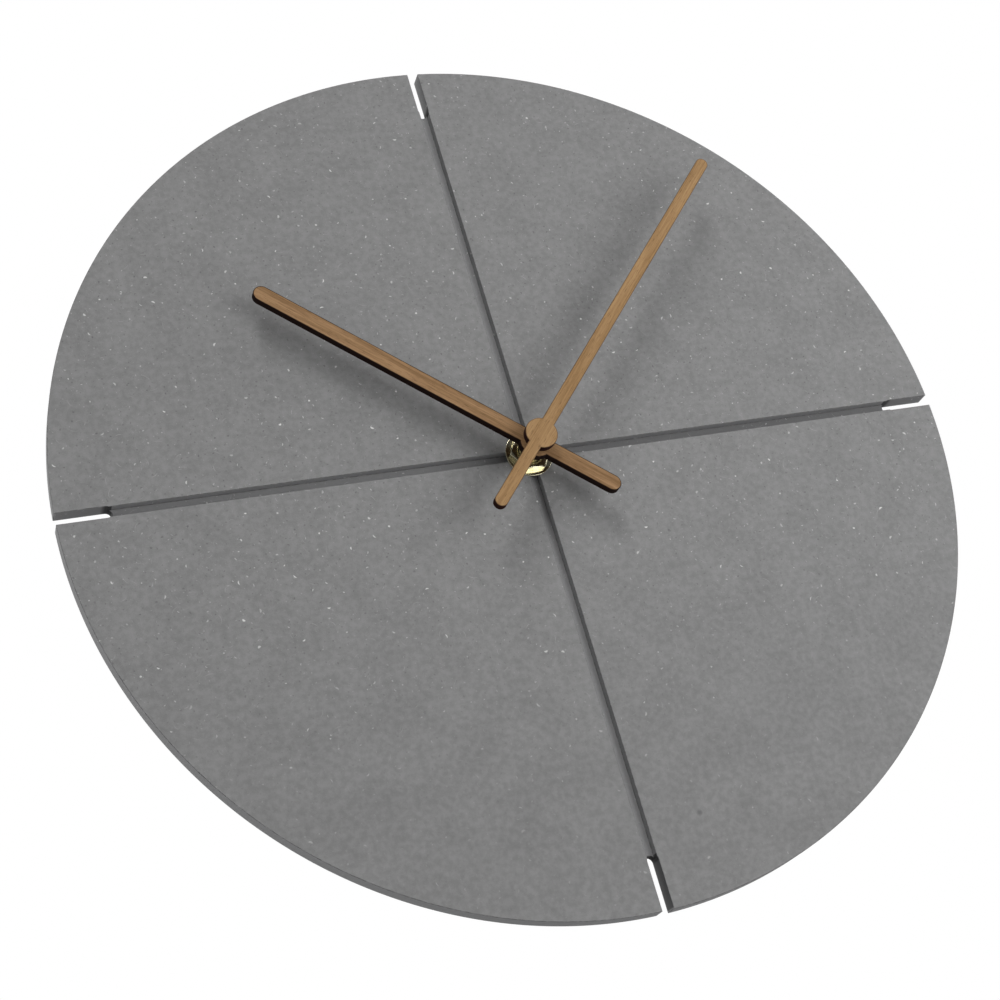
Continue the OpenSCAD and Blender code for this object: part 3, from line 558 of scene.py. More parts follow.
@dataclass(frozen=True)
class Fibreboard(Finish):
    """Through-dyed fibreboard with pale fibres, a rougher cut in its grooves, and painted shade on the
    level groove's floor and on the rim slots' walls.

    Attributes:
        fibre: Colour of the pale fibres.
        cut: Colour of the cut walls and floors.
        slot_shade: Colour of the painted shade on the walls of the rim slots.
        face_depth: Depth of the dial's face from the wall in millimetres.
        radius: Radius of the dial in millimetres.
        slot_start: Distance from the dial's axis to the slots' inner ends.
        floor_shade_height: Heights from the axis at which the painted shade on the groove's floor starts
            and is full.
        speck: Front-view point of one dark speck in the board.
        speck_size: Radii of the speck's rim and of its dark middle.
        speck_share: How dark that middle is.
        mottle: Size of the finer clouds in millimetres.
        felt: Size of the felt's lumps in millimetres.
        felt_middle: Value of the felt that leaves the board's tone as it is.
        tones: How much the clouds, the finer clouds and the felt shade the board.
        coarse_height: Heights between which the fibres and the felt come in.
        coarse_share: How much of them the lowest part of the dial shows.
        pale: The kinds of pale fibre.
        dark: The dark fibres.
        cut_share: How far a cut takes its own colour.
        floor_share: How much of that a groove's floor takes.
        floor_below: Depths below the face at which a groove's floor starts and is sure.
        floor_shade: Share of painted shade on the level groove's floor at the left and at the right of the
            axis.
        floor_shade_from: x up to which the first share holds and from which the second does.
        slot_shade_shares: Painted shade at a slot's inner end, in the lowest slot and in the others.
        slot_shade_reach: Lengths from a slot's inner end at which its painted shade starts and stops
            fading.
        slot_shade_height: Heights between which the lowest slot's painted shade comes in.
        rim: Distances inside the rim between which the painted slot shade ends.
        cut_roughness: Roughness of a cut.
        relief_share: How far the pale fibres stand up in the relief.
    """

    fibre: Colour = (0.6, 0.6, 0.6)
    cut: Colour = (0.1, 0.1, 0.1)
    slot_shade: Colour = (0.01, 0.01, 0.01)
    face_depth: float = 23.9
    radius: float = 150.0
    slot_start: float = 133.0
    floor_shade_height: Point = (4.0, 2.0)
    speck: Point = (0.0, 0.0)
    speck_size: Point = (1.3, 0.3)
    speck_share: float = 0.6
    mottle: float = 2.2
    felt: float = 0.35
    felt_middle: float = 0.34
    tones: Triple = (0.32, 0.55, 1.1)
    coarse_height: Point = (-120.0, -20.0)
    coarse_share: float = 0.25
    pale: Sequence[Fibre] = (
        Fibre(9.0, 0.66, 0.3, 0.4, 0.85, 3.0), Fibre(4.4, 0.45, 0.22, 0.32, 0.5, 11.0),
        Fibre(1.8, 0.28, 0.15, 0.28, 0.24, 23.0), Fibre(5.5, 1.5, 0.08, 0.5, 0.22, 37.0),
    )
    dark: Fibre = Fibre(2.8, 0.4, 0.24, 0.6, 0.6, 51.0)
    cut_share: float = 0.8
    floor_share: float = 0.7
    floor_below: Point = (0.4, 1.0)
    floor_shade: Point = (0.2, 0.5)
    floor_shade_from: Point = (-30.0, 30.0)
    slot_shade_shares: Triple = (0.8, 0.6, 0.15)
    slot_shade_reach: Point = (1.6, 4.0)
    slot_shade_height: Point = (-100.0, -130.0)
    rim: Point = (0.3, 0.8)
    cut_roughness: float = 0.95
    relief_share: float = 0.6

    def look(self, w: Wiring, at: Socket) -> Look:
        """Wires the clouds, the fibres, the cut surfaces and the board's felted relief."""
        normal = w.add("ShaderNodeTexCoord").outputs["Normal"]
        plane = BoardPlane.place(w, Vector=at, Normal=normal, Radius=self.radius * MM)
        flat, side = plane["Vector"], plane["Side"]
        up = w.split(at)[2]
        coarse = w.ramp(up, *(height * MM for height in self.coarse_height), self.coarse_share, 1.0)
        felt = w.noise(flat, 1 / (self.felt * MM), 3.0, 0.65)
        colour = w.mix(self.tone(w, flat, felt, coarse), self.colour, self.shade)
        dark = w.times(self.dark.mask(w, flat), coarse, self.dark.strength)
        colour = w.mix(dark, colour, self.rubbed)
        sunk = self.sunk(w, at, normal)
        cut = w.most(w.times(sunk, self.floor_share), side)
        colour = w.mix(w.times(cut, self.cut_share), colour, self.cut)
        # Painted shade: the level groove's floor darkens to the board's darker grey, more on the right.
        colour = w.mix(self.painted_floor_shade(w, at, sunk), colour, self.rubbed)
        # Painted shade: the rim slots' walls darken, most at their inner ends and in the lowest slot.
        colour = w.mix(self.painted_slot_shade(w, at, side), colour, self.slot_shade)
        colour = w.mix(self.specked(w, at), colour, self.rubbed)
        fibres = w.most(*(w.times(kind.mask(w, flat), kind.strength) for kind in self.pale))
        # Every rounded edge of the board takes the darker grey as a thin dark line.
        colour = self.worn(w, at, w.mix(w.times(fibres, coarse), colour, self.fibre))
        height = w.plus(felt, w.times(fibres, self.relief_share))
        return Look(colour, w.between(cut, self.roughness, self.cut_roughness), height)

    def tone(self, w: Wiring, flat: Socket, felt: Socket, coarse: Socket) -> Socket:
        """Returns where the board lies between its two greys.

        Args:
            w: The wiring of the material's tree.
            flat: The place on the board's plane.
            felt: The felt's lumps.
            coarse: How much of the felt shows.

        Returns:
            The share of the second grey.
        """
        broad, fine, rough = self.tones
        mottle = Clouds.place(w, Vector=flat, Size=self.mottle * MM)["Value"]
        clouds = w.plus(w.times(self.clouds(w, flat), broad), w.times(mottle, fine))
        return w.plus(clouds, w.times(w.less(felt, self.felt_middle), coarse, rough))

    def sunk(self, w: Wiring, at: Socket, normal: Socket) -> Socket:
        """Returns the mask of the grooves' floors, which face the viewer below the dial's face."""
        facing = w.math("LESS_THAN", w.split(normal)[1], -0.5)
        near, far = ((below - self.face_depth) * MM for below in self.floor_below)
        return w.times(w.ramp(w.split(at)[1], near, far), facing)

    def painted_floor_shade(self, w: Wiring, at: Socket, sunk: Socket) -> Socket:
        """Returns the share of painted shade on the floor of the level groove, which grows towards the
        right.
        """
        across, _, up = w.split(at)
        level = w.times(sunk, w.ramp(w.math("ABSOLUTE", up), *(height * MM for height in self.floor_shade_height)))
        return w.times(level, w.ramp(across, *(x * MM for x in self.floor_shade_from), *self.floor_shade))

    def painted_slot_shade(self, w: Wiring, at: Socket, side: Socket) -> Socket:
        """Returns the share of painted shade on the walls of the rim slots.

        Args:
            w: The wiring of the material's tree.
            at: The place on the board.
            side: The mask of the board's sides.

        Returns:
            The share, which is largest at the inner ends and in the lowest slot.
        """
        across, _, up = w.split(at)
        out = w.distance(across, up)
        first, last = ((self.slot_start + length) * MM for length in self.slot_shade_reach)
        end, lowest, other = self.slot_shade_shares
        slot = w.times(w.ramp(out, (self.slot_start - 0.2) * MM, (self.slot_start + 0.2) * MM),
                       w.ramp(out, *((self.radius - inset) * MM for inset in self.rim)))
        black = w.most(w.ramp(out, last, first, 0.0, end),
                       w.ramp(up, *(height * MM for height in self.slot_shade_height), other, lowest))
        return w.times(black, w.times(slot, side))

    def specked(self, w: Wiring, at: Socket) -> Socket:
        """Returns the share of the one dark speck."""
        x, y = self.speck
        near = w.vector("SUBTRACT", at, (x * MM, -self.face_depth * MM, y * MM))
        away = w.add("ShaderNodeVectorMath", {0: near}, operation="LENGTH").outputs["Value"]
        return w.ramp(away, *(radius * MM for radius in self.speck_size), 0.0, self.speck_share)


@dataclass(frozen=True)
class HandWood(Finish):
    """Straight-grained wood with sides and rims that a laser has burnt.

    Attributes:
        pore: Colour of the pores.
        pore_share: How clearly the pores show.
        burnt: Colour of the burnt sides.
        burnt_roughness: Roughness of the burnt sides.
        bands: Share of the broad bands in the grain, the rest being streaks.
        along: Direction of the grain in degrees from three o'clock.
        seed: Offset that gives each hand its own grain.
    """

    pore: Colour = (0.1, 0.05, 0.02)
    pore_share: float = 0.6
    burnt: Colour = (0.01, 0.005, 0.003)
    burnt_roughness: float = 0.8
    bands: float = 0.45
    along: float = 0.0
    seed: float = 0.0

    def coordinates(self, w: Wiring) -> Socket:
        """Returns the place on the hand, with x along its grain."""
        place = w.add("ShaderNodeTexCoord").outputs["Object"]
        turn = (0.0, math.radians(self.along), 0.0)
        return w.made("ShaderNodeMapping", {"Vector": place, "Rotation": turn})

    def look(self, w: Wiring, at: Socket) -> Look:
        """Wires the grain's colours, the burnt sides and a shallow relief of the pores."""
        grain = WoodGrain.place(w, Vector=at, Seed=self.seed)
        tone = w.plus(w.times(grain["Bands"], self.bands), w.times(grain["Streaks"], 1 - self.bands))
        colour = w.mix(tone, self.colour, self.shade)
        colour = w.mix(w.times(grain["Pores"], self.pore_share), colour, self.pore)
        burn = w.ramp(self.edge(w), 0.0, 1.0)
        rough = w.between(burn, self.roughness, self.burnt_roughness)
        return Look(w.mix(burn, colour, self.burnt), rough, w.less(grain["Streaks"], grain["Pores"]))


@dataclass(frozen=True)
class BoardResist(Finish):
    """Green solder resist over copper tracks that run along and across the board.

    Attributes:
        track: Colour of the resist where it lies on a track.
        pitch: Distance between tracks in millimetres.
        patch: Size of the patches that the tracks run one way in, in millimetres.
        edge_shares: Where a track's edge starts and ends, as shares of the pitch from its middle.
    """

    track: Colour = (0.03, 0.2, 0.08)
    pitch: float = 1.1
    patch: float = 4.5
    edge_shares: Point = (0.17, 0.21)

    def look(self, w: Wiring, at: Socket) -> Look:
        """Wires the tracks, the clouds of the resist and the raised copper."""
        x, _, z = w.split(at)
        patches = w.add("ShaderNodeTexVoronoi", {"Vector": w.join(x, z), "Scale": 1 / (self.patch * MM)},
                        distance="MANHATTAN", voronoi_dimensions="2D")
        turned = w.math("GREATER_THAN", w.split(patches.outputs["Color"])[0], 0.5)
        line = w.times(w.between(turned, x, z), 1 / (self.pitch * MM))
        ridge = w.math("ABSOLUTE", w.less(w.math("FRACT", line), 0.5))
        tracks = w.ramp(ridge, *self.edge_shares, 1.0, 0.0)
        cloud = self.clouds(w, at)
        colour = w.mix(tracks, w.mix(cloud, self.colour, self.shade), self.track)
        return Look(colour, w.between(cloud, self.roughness - 0.05, self.roughness + 0.08), tracks)


@dataclass(frozen=True)
class CellSleeve(Finish):
    """A plain shrunk film sleeve with one coloured band at the positive end.

    Attributes:
        band: Colour of the band.
        band_from: x at which the band starts, in millimetres.
        line_width: Width of the thin line beside the band in millimetres.
        soft: Width over which the band's edge fades in millimetres.
    """

    band: Colour = (0.02, 0.08, 0.09)
    band_from: float = 12.0
    line_width: float = 0.7
    soft: float = 0.03

    def look(self, w: Wiring, at: Socket) -> Look:
        """Wires the band, the thin line beside it, scuffs and the film's faint ripples."""
        x = w.split(at)[0]
        soft = self.soft * MM
        start = self.band_from * MM
        end = start - self.line_width * MM
        far = end - self.line_width * MM
        band = w.ramp(x, start - soft, start + soft)
        line = w.less(w.ramp(x, far, far + soft), w.ramp(x, end, end + soft))
        cloud = self.clouds(w, at)
        colour = w.mix(w.most(band, line), w.mix(cloud, self.colour, self.shade), self.band)
        ripple = w.noise(w.vector("MULTIPLY", at, (0.35, 1.0, 1.0)), 1 / (self.grain * MM), 2.0)
        return Look(self.worn(w, at, colour), self.uneven(w, cloud), ripple)


# The board's darker grey (rubbed) colours its dark fibres, its speck, a thin dark line along its rounded
# edges and the painted shade on the level groove's floor.
FIBREBOARD = Fibreboard(
    "fibreboard", tint(118, 118, 118), tint(138, 138, 138), roughness=0.88, specular=0.2, cloud=14.0,
    depth=0.03, rubbed=tint(84, 84, 85), rub=0.75, rub_size=1.5, fibre=tint(228, 228, 226),
    cut=tint(150, 150, 151), face_depth=depths("dial")[1], speck=(19.0, -124.0), slot_shade=tint(26, 26, 27))
HOUR_WOOD = HandWood(
    "hour_wood", tint(162, 129, 94), tint(117, 88, 58), "hand_wood", roughness=0.55, specular=0.12,
    depth=0.01, pore=tint(78, 52, 32), burnt=tint(27, 12, 7), along=HOUR_ANGLE, seed=0.31)
MINUTE_WOOD = HandWood(
    "minute_wood", tint(171, 138, 98), tint(134, 103, 67), "hand_wood", roughness=0.55, specular=0.12,
    depth=0.01, pore=tint(88, 60, 34), burnt=tint(40, 15, 9), along=MINUTE_ANGLE, seed=0.77)
BRASS = Finish(
    "brass", tint(216, 210, 182), tint(206, 198, 168), roughness=0.2, swing=0.06, metallic=1.0,
    relief=Relief.TURNED, grain=0.35, depth=0.002, rubbed=tint(230, 225, 202), rub=0.2, cloud=3.0)
RUBBER = Finish(
    "rubber", tint(30, 30, 31), tint(42, 42, 42), roughness=0.82, specular=0.3,
    rubbed=tint(66, 66, 64), rub=0.4, grain=0.3, depth=0.015)
STEEL = Finish(
    "zinc_steel", tint(196, 198, 202), tint(172, 176, 182), "steel", roughness=0.36, swing=0.16,
    metallic=1.0, relief=Relief.BRUSHED, grain=0.12, depth=0.002, rubbed=tint(222, 224, 226), rub=0.6,
    cloud=2.5)
CASE = Finish(
    "case_plastic", tint(29, 29, 31), tint(36, 36, 38), roughness=0.52, swing=0.1, specular=0.45,
    rubbed=tint(74, 74, 77), rub=0.5, grain=0.32, depth=0.012, cloud=7.0)
KNOB = Finish(
    "knob_plastic", tint(48, 48, 51), tint(56, 56, 60), roughness=0.42, swing=0.1,
    rubbed=tint(96, 96, 100), rub=0.5, grain=0.2, depth=0.006)
WHEEL = Finish(
    "wheel_plastic", tint(231, 227, 214), tint(221, 216, 201), roughness=0.38, swing=0.1,
    rubbed=tint(242, 240, 232), rub=0.5, grain=0.3, depth=0.003)
PLATE = Finish(
    "plate_plastic", tint(214, 214, 210), tint(203, 203, 199), roughness=0.45, swing=0.1,
    rubbed=tint(232, 232, 229), rub=0.4, grain=0.3, depth=0.005)
MAGNET = Finish(
    "magnet", tint(78, 78, 82), tint(92, 92, 97), roughness=0.6, metallic=0.6, specular=0.4,
    rubbed=tint(140, 140, 145), rub=0.6, grain=0.08, depth=0.005, cloud=1.5)
CORE = Finish(
    "core_iron", tint(168, 170, 174), tint(150, 152, 158), roughness=0.4, swing=0.14, metallic=1.0,
    relief=Relief.BRUSHED, grain=0.08, depth=0.002, rubbed=tint(206, 207, 210), rub=0.6, cloud=2.0)
BOBBIN = Finish(
    "bobbin_plastic", tint(226, 221, 203), tint(216, 210, 190), roughness=0.45,
    rubbed=tint(238, 235, 222), rub=0.4, grain=0.25, depth=0.004)
COPPER = Finish(
    "copper_wire", tint(196, 108, 62), tint(170, 84, 44), roughness=0.28, swing=0.1, metallic=0.9,
    coat=0.5, relief=Relief.BRUSHED, grain=0.2, depth=0.001, rubbed=tint(214, 132, 84), rub=0.3,
    cloud=1.2)
RESIST = BoardResist(
    "board", tint(22, 86, 46), tint(17, 74, 40), roughness=0.3, depth=0.02, coat=0.2,
    track=tint(52, 128, 72))
RESIN = Finish(
    "resin", tint(22, 22, 23), tint(30, 30, 31), roughness=0.28, swing=0.12, coat=0.2,
    rubbed=tint(50, 50, 50), rub=0.3, grain=0.7, depth=0.01, cloud=1.5)
SOLDER = Finish(
    "solder", tint(188, 190, 192), tint(164, 166, 170), "can_metal", roughness=0.3, swing=0.14,
    metallic=1.0, rubbed=tint(214, 214, 216), rub=0.4, grain=0.15, depth=0.004, cloud=0.8)
CAN = Finish(
    "can_metal", tint(204, 205, 206), tint(188, 190, 193), roughness=0.25, swing=0.1, metallic=1.0,
    relief=Relief.BRUSHED, grain=0.1, depth=0.001, rubbed=tint(224, 224, 226), rub=0.5, cloud=1.5)
CONTACT = Finish(
    "contact_metal", tint(200, 198, 190), tint(178, 176, 168), roughness=0.3, swing=0.14, metallic=1.0,
    relief=Relief.BRUSHED, grain=0.09, depth=0.002, rubbed=tint(220, 218, 210), rub=0.6, cloud=2.0)
SLEEVE = CellSleeve(
    "cell_wrap", tint(48, 85, 124), tint(42, 77, 114), roughness=0.3, swing=0.1,
    rubbed=tint(120, 146, 172), rub_size=1.2, grain=2.5, depth=0.02, cloud=9.0,
    band=tint(204, 206, 206), band_from=9.0)
CELL_METAL = Finish(
    "cell_metal", tint(206, 206, 204), tint(186, 187, 188), roughness=0.26, swing=0.12, metallic=1.0,
    grain=0.12, depth=0.002, rubbed=tint(226, 226, 224), rub=0.4, cloud=2.0)


def outwards(bm: BMesh) -> None:
    """Turns the faces of a closed solid outwards."""
    bmesh.ops.recalc_face_normals(bm, faces=bm.faces)


def soften(bm: BMesh, width: float, segments: int = 2) -> BMesh:
    """Rounds every crease of a solid and marks the new faces as edges.

    Args:
        bm: The solid, in millimetres.
        width: Width of the rounding.
        segments: Number of faces across it.

    Returns:
        The same solid.
    """
    layer = bm.faces.layers.float.get(EDGE) or bm.faces.layers.float.new(EDGE)
    creases = [e for e in bm.edges if e.is_manifold and e.calc_face_angle(0.0) > CREASE]
    made = bmesh.ops.bevel(bm, geom=creases, offset=width, offset_type="OFFSET", segments=segments,
                           profile=0.5, affect="EDGES", clamp_overlap=False)
    for face in made["faces"]:
        face[layer] = 1.0
    return bm


def merged(bm: BMesh) -> BMesh:
    """Joins a solid's doubled points and flat faces, and turns its faces outwards."""
    bmesh.ops.remove_doubles(bm, verts=bm.verts, dist=0.001)
    bmesh.ops.dissolve_limit(bm, angle_limit=math.radians(0.5), verts=bm.verts, edges=bm.edges)
    bmesh.ops.delete(bm, geom=[e for e in bm.edges if e.is_wire], context="EDGES")
    outwards(bm)
    return bm


def cad_copy(node: str) -> BMesh:
    """Returns a merged copy of a node's mesh, in millimetres in the front view."""
    bm = bmesh.new()
    bm.from_mesh(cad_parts[node].data)
    bm.transform(PLACE.inverted())
    return merged(bm)


def skin(bm: BMesh, rows: Sequence[Sequence[BMVert]], closed: bool) -> None:
    """Spans quads between neighbouring closed rows of points.

    Args:
        bm: The mesh that gets the faces.
        rows: Rows with the same number of points. A row of one point is a pole.
        closed: Whether the last row joins the first one.
    """
    pairs = list(zip(rows, rows[1:]))
    if closed:
        pairs.append((rows[-1], rows[0]))
    for low, high in pairs:
        count = max(len(low), len(high))
        for k in range(count):
            corners = [low[k % len(low)], low[(k + 1) % len(low)],
                       high[(k + 1) % len(high)], high[k % len(high)]]
            unique = list(dict.fromkeys(corners))
            if len(unique) > 2:
                bm.faces.new(unique)


def arc(radius: float, start: float, sweep: float, steps: int = 24,
        centre: Point = (0.0, 0.0)) -> list[Point]:
    """Returns the points of an arc with both its ends.

    Args:
        radius: Its radius.
        start: Angle of its first point in degrees from three o'clock.
        sweep: Angle from its first point to its last one.
        steps: Number of steps between them.
        centre: Its centre.

    Returns:
        The points, one more than the steps.
    """
    points = [polar(radius, start + sweep * k / steps) for k in range(steps + 1)]
    return [(centre[0] + x, centre[1] + y) for x, y in points]


def circle(radius: float, steps: int, centre: Point = (0.0, 0.0)) -> list[Point]:
    """Returns the points of a circle, from three o'clock on."""
    return arc(radius, 0, 360, steps, centre)[:-1]


def turned(profile: Sequence[Point], centre: Point = (0.0, 0.0), segments: int = 96) -> BMesh:
    """Turns a closed profile about an axis along the depth.

    Args:
        profile: Points of radius and depth in order. A radius of 0 is a pole.
        centre: Front-view place of the axis.
        segments: Number of steps round the axis.

    Returns:
        The solid.
    """
    bm = bmesh.new()
    rows = []
    for radius, depth in profile:
        ring = circle(radius, segments, centre) if radius > 0 else [centre]
        rows.append([bm.verts.new((x, y, depth)) for x, y in ring])
    skin(bm, rows, closed=profile[0][0] > 0)
    outwards(bm)
    return bm


def laid(bm: BMesh, x: float, y: float, depth: float) -> BMesh:
    """Lays a solid that was turned about the depth axis along x, from a point on."""
    bm.transform(Matrix(((0, 0, 1, x), (1, 0, 0, y), (0, 1, 0, depth), (0, 0, 0, 1))))
    return bm


def tube(path: Sequence[Vector], radius: float, segments: int = 14) -> BMesh:
    """Returns a round wire along a path of points in millimetres."""
    bm = bmesh.new()
    rows: list[list[BMVert]] = []
    side = (path[1] - path[0]).orthogonal()
    for k, here in enumerate(path):
        ahead = (path[min(k + 1, len(path) - 1)] - path[max(k - 1, 0)]).normalized()
        side = (side - ahead * side.dot(ahead)).normalized()
        other = ahead.cross(side)
        rows.append([bm.verts.new(here + side * x + other * y) for x, y in circle(radius, segments)])
    skin(bm, rows, closed=False)
    for row in (rows[0], rows[-1]):
        bm.faces.new(row)
    outwards(bm)
    return bm


def prism(outline: Sequence[Point], low: float, high: float) -> BMesh:
    """Returns the solid on a front-view outline between two depths."""
    bm = bmesh.new()
    base = bm.faces.new([bm.verts.new((x, y, low)) for x, y in outline])
    lifted = bmesh.ops.extrude_face_region(bm, geom=[base])
    moved = [g for g in lifted["geom"] if isinstance(g, BMVert)]
    bmesh.ops.translate(bm, verts=moved, vec=(0.0, 0.0, high - low))
    outwards(bm)
    return bm


def joined(parts: Iterable[BMesh]) -> BMesh:
    """Puts several solids into one mesh and frees them."""
    bm = bmesh.new()
    for part in parts:
        mesh = bpy.data.meshes.new("part")
        part.to_mesh(mesh)
        part.free()
        bm.from_mesh(mesh)
        bpy.data.meshes.remove(mesh)
    return bm


def loose_object(bm: BMesh, name: str) -> bpy.types.Object:
    """Puts a solid into a new object of the scene and frees the solid."""
    mesh = bpy.data.meshes.new(name)
    bm.to_mesh(mesh)
    bm.free()
    made = bpy.data.objects.new(name, mesh)
    bpy.context.scene.collection.objects.link(made)
    return made


def evaluated(made: bpy.types.Object) -> bpy.types.Mesh:
    """Returns an object's mesh with its modifiers applied."""
    graph = bpy.context.evaluated_depsgraph_get()
    ready = made.evaluated_get(graph)
    return bpy.data.meshes.new_from_object(ready, preserve_all_data_layers=True, depsgraph=graph)


def finished(made: bpy.types.Object, others: Iterable[bpy.types.Object] = ()) -> BMesh:
    """Takes an object's shape with its modifiers applied.

    Args:
        made: The object, which is removed.
        others: More objects that were only needed for it, which are removed too.

    Returns:
        The shape.
    """
    mesh = evaluated(made)
    bm = bmesh.new()
    bm.from_mesh(mesh)
    bpy.data.meshes.remove(mesh)
    for spare in (made, *others):
        data = spare.data
        bpy.data.objects.remove(spare)
        bpy.data.meshes.remove(data)
    return bm


def weight_normals(made: bpy.types.Object) -> None:
    """Turns an object's smooth normals towards its large faces, so that those look flat."""
    weighted = made.modifiers.new("weighted", "WEIGHTED_NORMAL")
    weighted.keep_sharp = True
    plain = made.data
    mesh = evaluated(made)
    made.modifiers.clear()
    made.data = mesh
    mesh.name = made.name
    bpy.data.meshes.remove(plain)


def carve(bm: BMesh, cutters: Iterable[BMesh]) -> BMesh:
    """Cuts solids out of a solid.

    Args:
        bm: The solid, which is freed.
        cutters: The solids to take away, which are freed.

    Returns:
        The cut solid.
    """
    body = loose_object(bm, "blank")
    tools = [loose_object(cutter, "cutter") for cutter in cutters]
    for tool in tools:
        cut = body.modifiers.new("cut", "BOOLEAN")
        cut.operation = "DIFFERENCE"
        cut.solver = "EXACT"
        cut.object = tool
    return finished(body, tools)


class ShapeTree:
    """A Geometry Nodes tree that grows a repeated or ruled shape from named sizes."""

    name: ClassVar[str] = ""
    inputs: ClassVar[dict[str, Union[float, int]]] = {}

    @classmethod
    def tree(cls) -> bpy.types.NodeTree:
        """Returns the tree, which the first call makes."""
        made = bpy.data.node_groups.get(cls.name)
        if made is None:
            made = bpy.data.node_groups.new(cls.name, "GeometryNodeTree")
            face = made.interface
            face.new_socket("Geometry", in_out="OUTPUT", socket_type="NodeSocketGeometry")
            face.new_socket("Finish", in_out="INPUT", socket_type="NodeSocketMaterial")
            for label, value in cls.inputs.items():
                kind = "NodeSocketInt" if isinstance(value, int) else NUMBER
                face.new_socket(label, in_out="INPUT", socket_type=kind).default_value = value
            w = Wiring(made)
            given = w.add("NodeGroupInput").outputs
            real = w.made("GeometryNodeRealizeInstances", {0: cls.wire(w, given)})
            dressed = w.made("GeometryNodeSetMaterial", {"Geometry": real, "Material": given["Finish"]})
            w.add("NodeGroupOutput", {0: dressed})
        return made

    @classmethod
    def wire(cls, w: Wiring, given: Sockets) -> Socket:
        """Wires the shape.

        Args:
            w: The wiring of the tree.
            given: The sockets of the tree's inputs.

        Returns:
            The socket with the shape.
        """
        raise NotImplementedError

    @classmethod
    def grow(cls, finish: Finish, **sizes: Union[float, int]) -> BMesh:
        """Grows the shape.

        Args:
            finish: The finish that the tree sets on it.
            **sizes: A value for each input that isn't left at its default.

        Returns:
            The shape, in millimetres in the front view.
        """
        host = loose_object(bmesh.new(), cls.name)
        modifier = host.modifiers.new(cls.name, "NODES")
        modifier.node_group = cls.tree()
        values = {**sizes, "Finish": finish.material()}
        for item in cls.tree().interface.items_tree:
            if item.in_out == "INPUT" and item.name in values:
                modifier[item.identifier] = values[item.name]
        return finished(host)


class SlottedDisc(ShapeTree):
    """A disc with a bore, two crossed grooves in its face and four slots in its rim."""

    name = "slotted_disc"
    inputs = {"Radius": 150.0, "Back": 18.4, "Thickness": 5.5, "Bore Radius": 4.2, "Groove Width": 3.2,
              "Groove Depth": 2.5, "Slot Width": 3.7, "Slot Length": 17.0, "Facets": 640,
              "Bore Facets": 64, "Slot Facets": 36}

    @classmethod
    def wire(cls, w: Wiring, given: Sockets) -> Socket:
        """Wires a cylinder, less its bore, grooves and slots."""
        face = w.plus(given["Back"], given["Thickness"])
        middle = w.times(w.plus(given["Back"], face), 0.5)
        tall = w.times(given["Thickness"], 3.0)
        disc = cls.drum(w, given["Facets"], given["Radius"], given["Thickness"], w.join(z=middle))
        bore = cls.drum(w, given["Bore Facets"], given["Bore Radius"], tall, w.join(z=middle))
        size = w.join(w.times(given["Radius"], 2.2), given["Groove Width"],
                      w.times(given["Groove Depth"], 2.0))
        groove = w.made("GeometryNodeMeshCube", {"Size": size})
        grooves = [cls.moved(w, groove, w.join(z=face), turn) for turn in (0.0, math.pi / 2)]
        cut = w.add("GeometryNodeMeshBoolean", {"Mesh 1": disc}, operation="DIFFERENCE", solver="MANIFOLD")
        for tool in (bore, *grooves, cls.slots(w, given, tall, middle)):
            w.feed(cut.inputs["Mesh 2"], tool)
        return cut.outputs[0]

    @classmethod
    def slots(cls, w: Wiring, given: Sockets, tall: Socket, middle: Socket) -> Socket:
        """Wires the cutters of the four slots.

        Args:
            w: The wiring of the tree.
            given: The sockets of the tree's inputs.
            tall: The height of the cutters.
            middle: The depth of their middle.

        Returns:
            The socket with the four cutters, each round at its inner end.
        """
        half = w.times(given["Slot Width"], 0.5)
        inner = w.plus(w.less(given["Radius"], given["Slot Length"]), half)
        along = w.split(w.made("GeometryNodeInputPosition"))[0]
        slot = w.made("GeometryNodeSetPosition", {
            "Geometry": cls.drum(w, given["Slot Facets"], half, tall, w.join(inner, 0.0, middle)),
            "Selection": w.math("GREATER_THAN", along, w.plus(inner, w.times(half, 0.01))),
            "Offset": w.join(w.times(given["Slot Length"], 2.0))})
        quarter = w.times(w.made("GeometryNodeInputIndex"), math.pi / 2)
        around = w.made("GeometryNodeInstanceOnPoints", {
            "Points": w.made("GeometryNodeMeshLine", {"Count": 4, "Offset": ORIGIN}),
            "Instance": slot, "Rotation": w.join(z=quarter)})
        return w.made("GeometryNodeRealizeInstances", {0: around})

    @classmethod
    def drum(cls, w: Wiring, facets: Value, radius: Value, height: Value, at: Value) -> Socket:
        """Returns a cylinder along the depth, centred at a place."""
        sizes = {"Vertices": facets, "Radius": radius, "Depth": height}
        return cls.moved(w, w.made("GeometryNodeMeshCylinder", sizes), at)

    @classmethod
    def moved(cls, w: Wiring, shape: Value, at: Value, turn: float = 0.0) -> Socket:
        """Returns a shape that is turned about the depth axis and then moved."""
        return w.made("GeometryNodeTransform", {
            "Geometry": shape, "Translation": at, "Rotation": (0.0, 0.0, turn)})


class HelixRidge(ShapeTree):
    """The ridge of a screw thread round the depth axis."""

    name = "helix_ridge"
    inputs = {"Root Radius": 3.6, "Ridge": 0.25, "Turns": 13.0, "Rise": 10.0, "Start": 16.8, "Steps": 72}

    @classmethod
    def wire(cls, w: Wiring, given: Sockets) -> Socket:
        """Wires a helix with a three-sided ridge along it."""
        root = given["Root Radius"]
        helix = w.made("GeometryNodeCurveSpiral", {
            "Resolution": given["Steps"], "Rotations": given["Turns"], "Start Radius": root,
            "End Radius": root, "Height": given["Rise"]})
        solid = w.made("GeometryNodeCurveToMesh", {
            "Curve": w.made("GeometryNodeSetCurveNormal", {"Curve": helix}, mode="Z_UP"),
            "Profile Curve": w.made("GeometryNodeCurvePrimitiveCircle", {
                "Resolution": 3, "Radius": given["Ridge"]}),
            "Fill Caps": True})
        return w.made("GeometryNodeTransform", {
            "Geometry": solid, "Translation": w.join(z=given["Start"])})


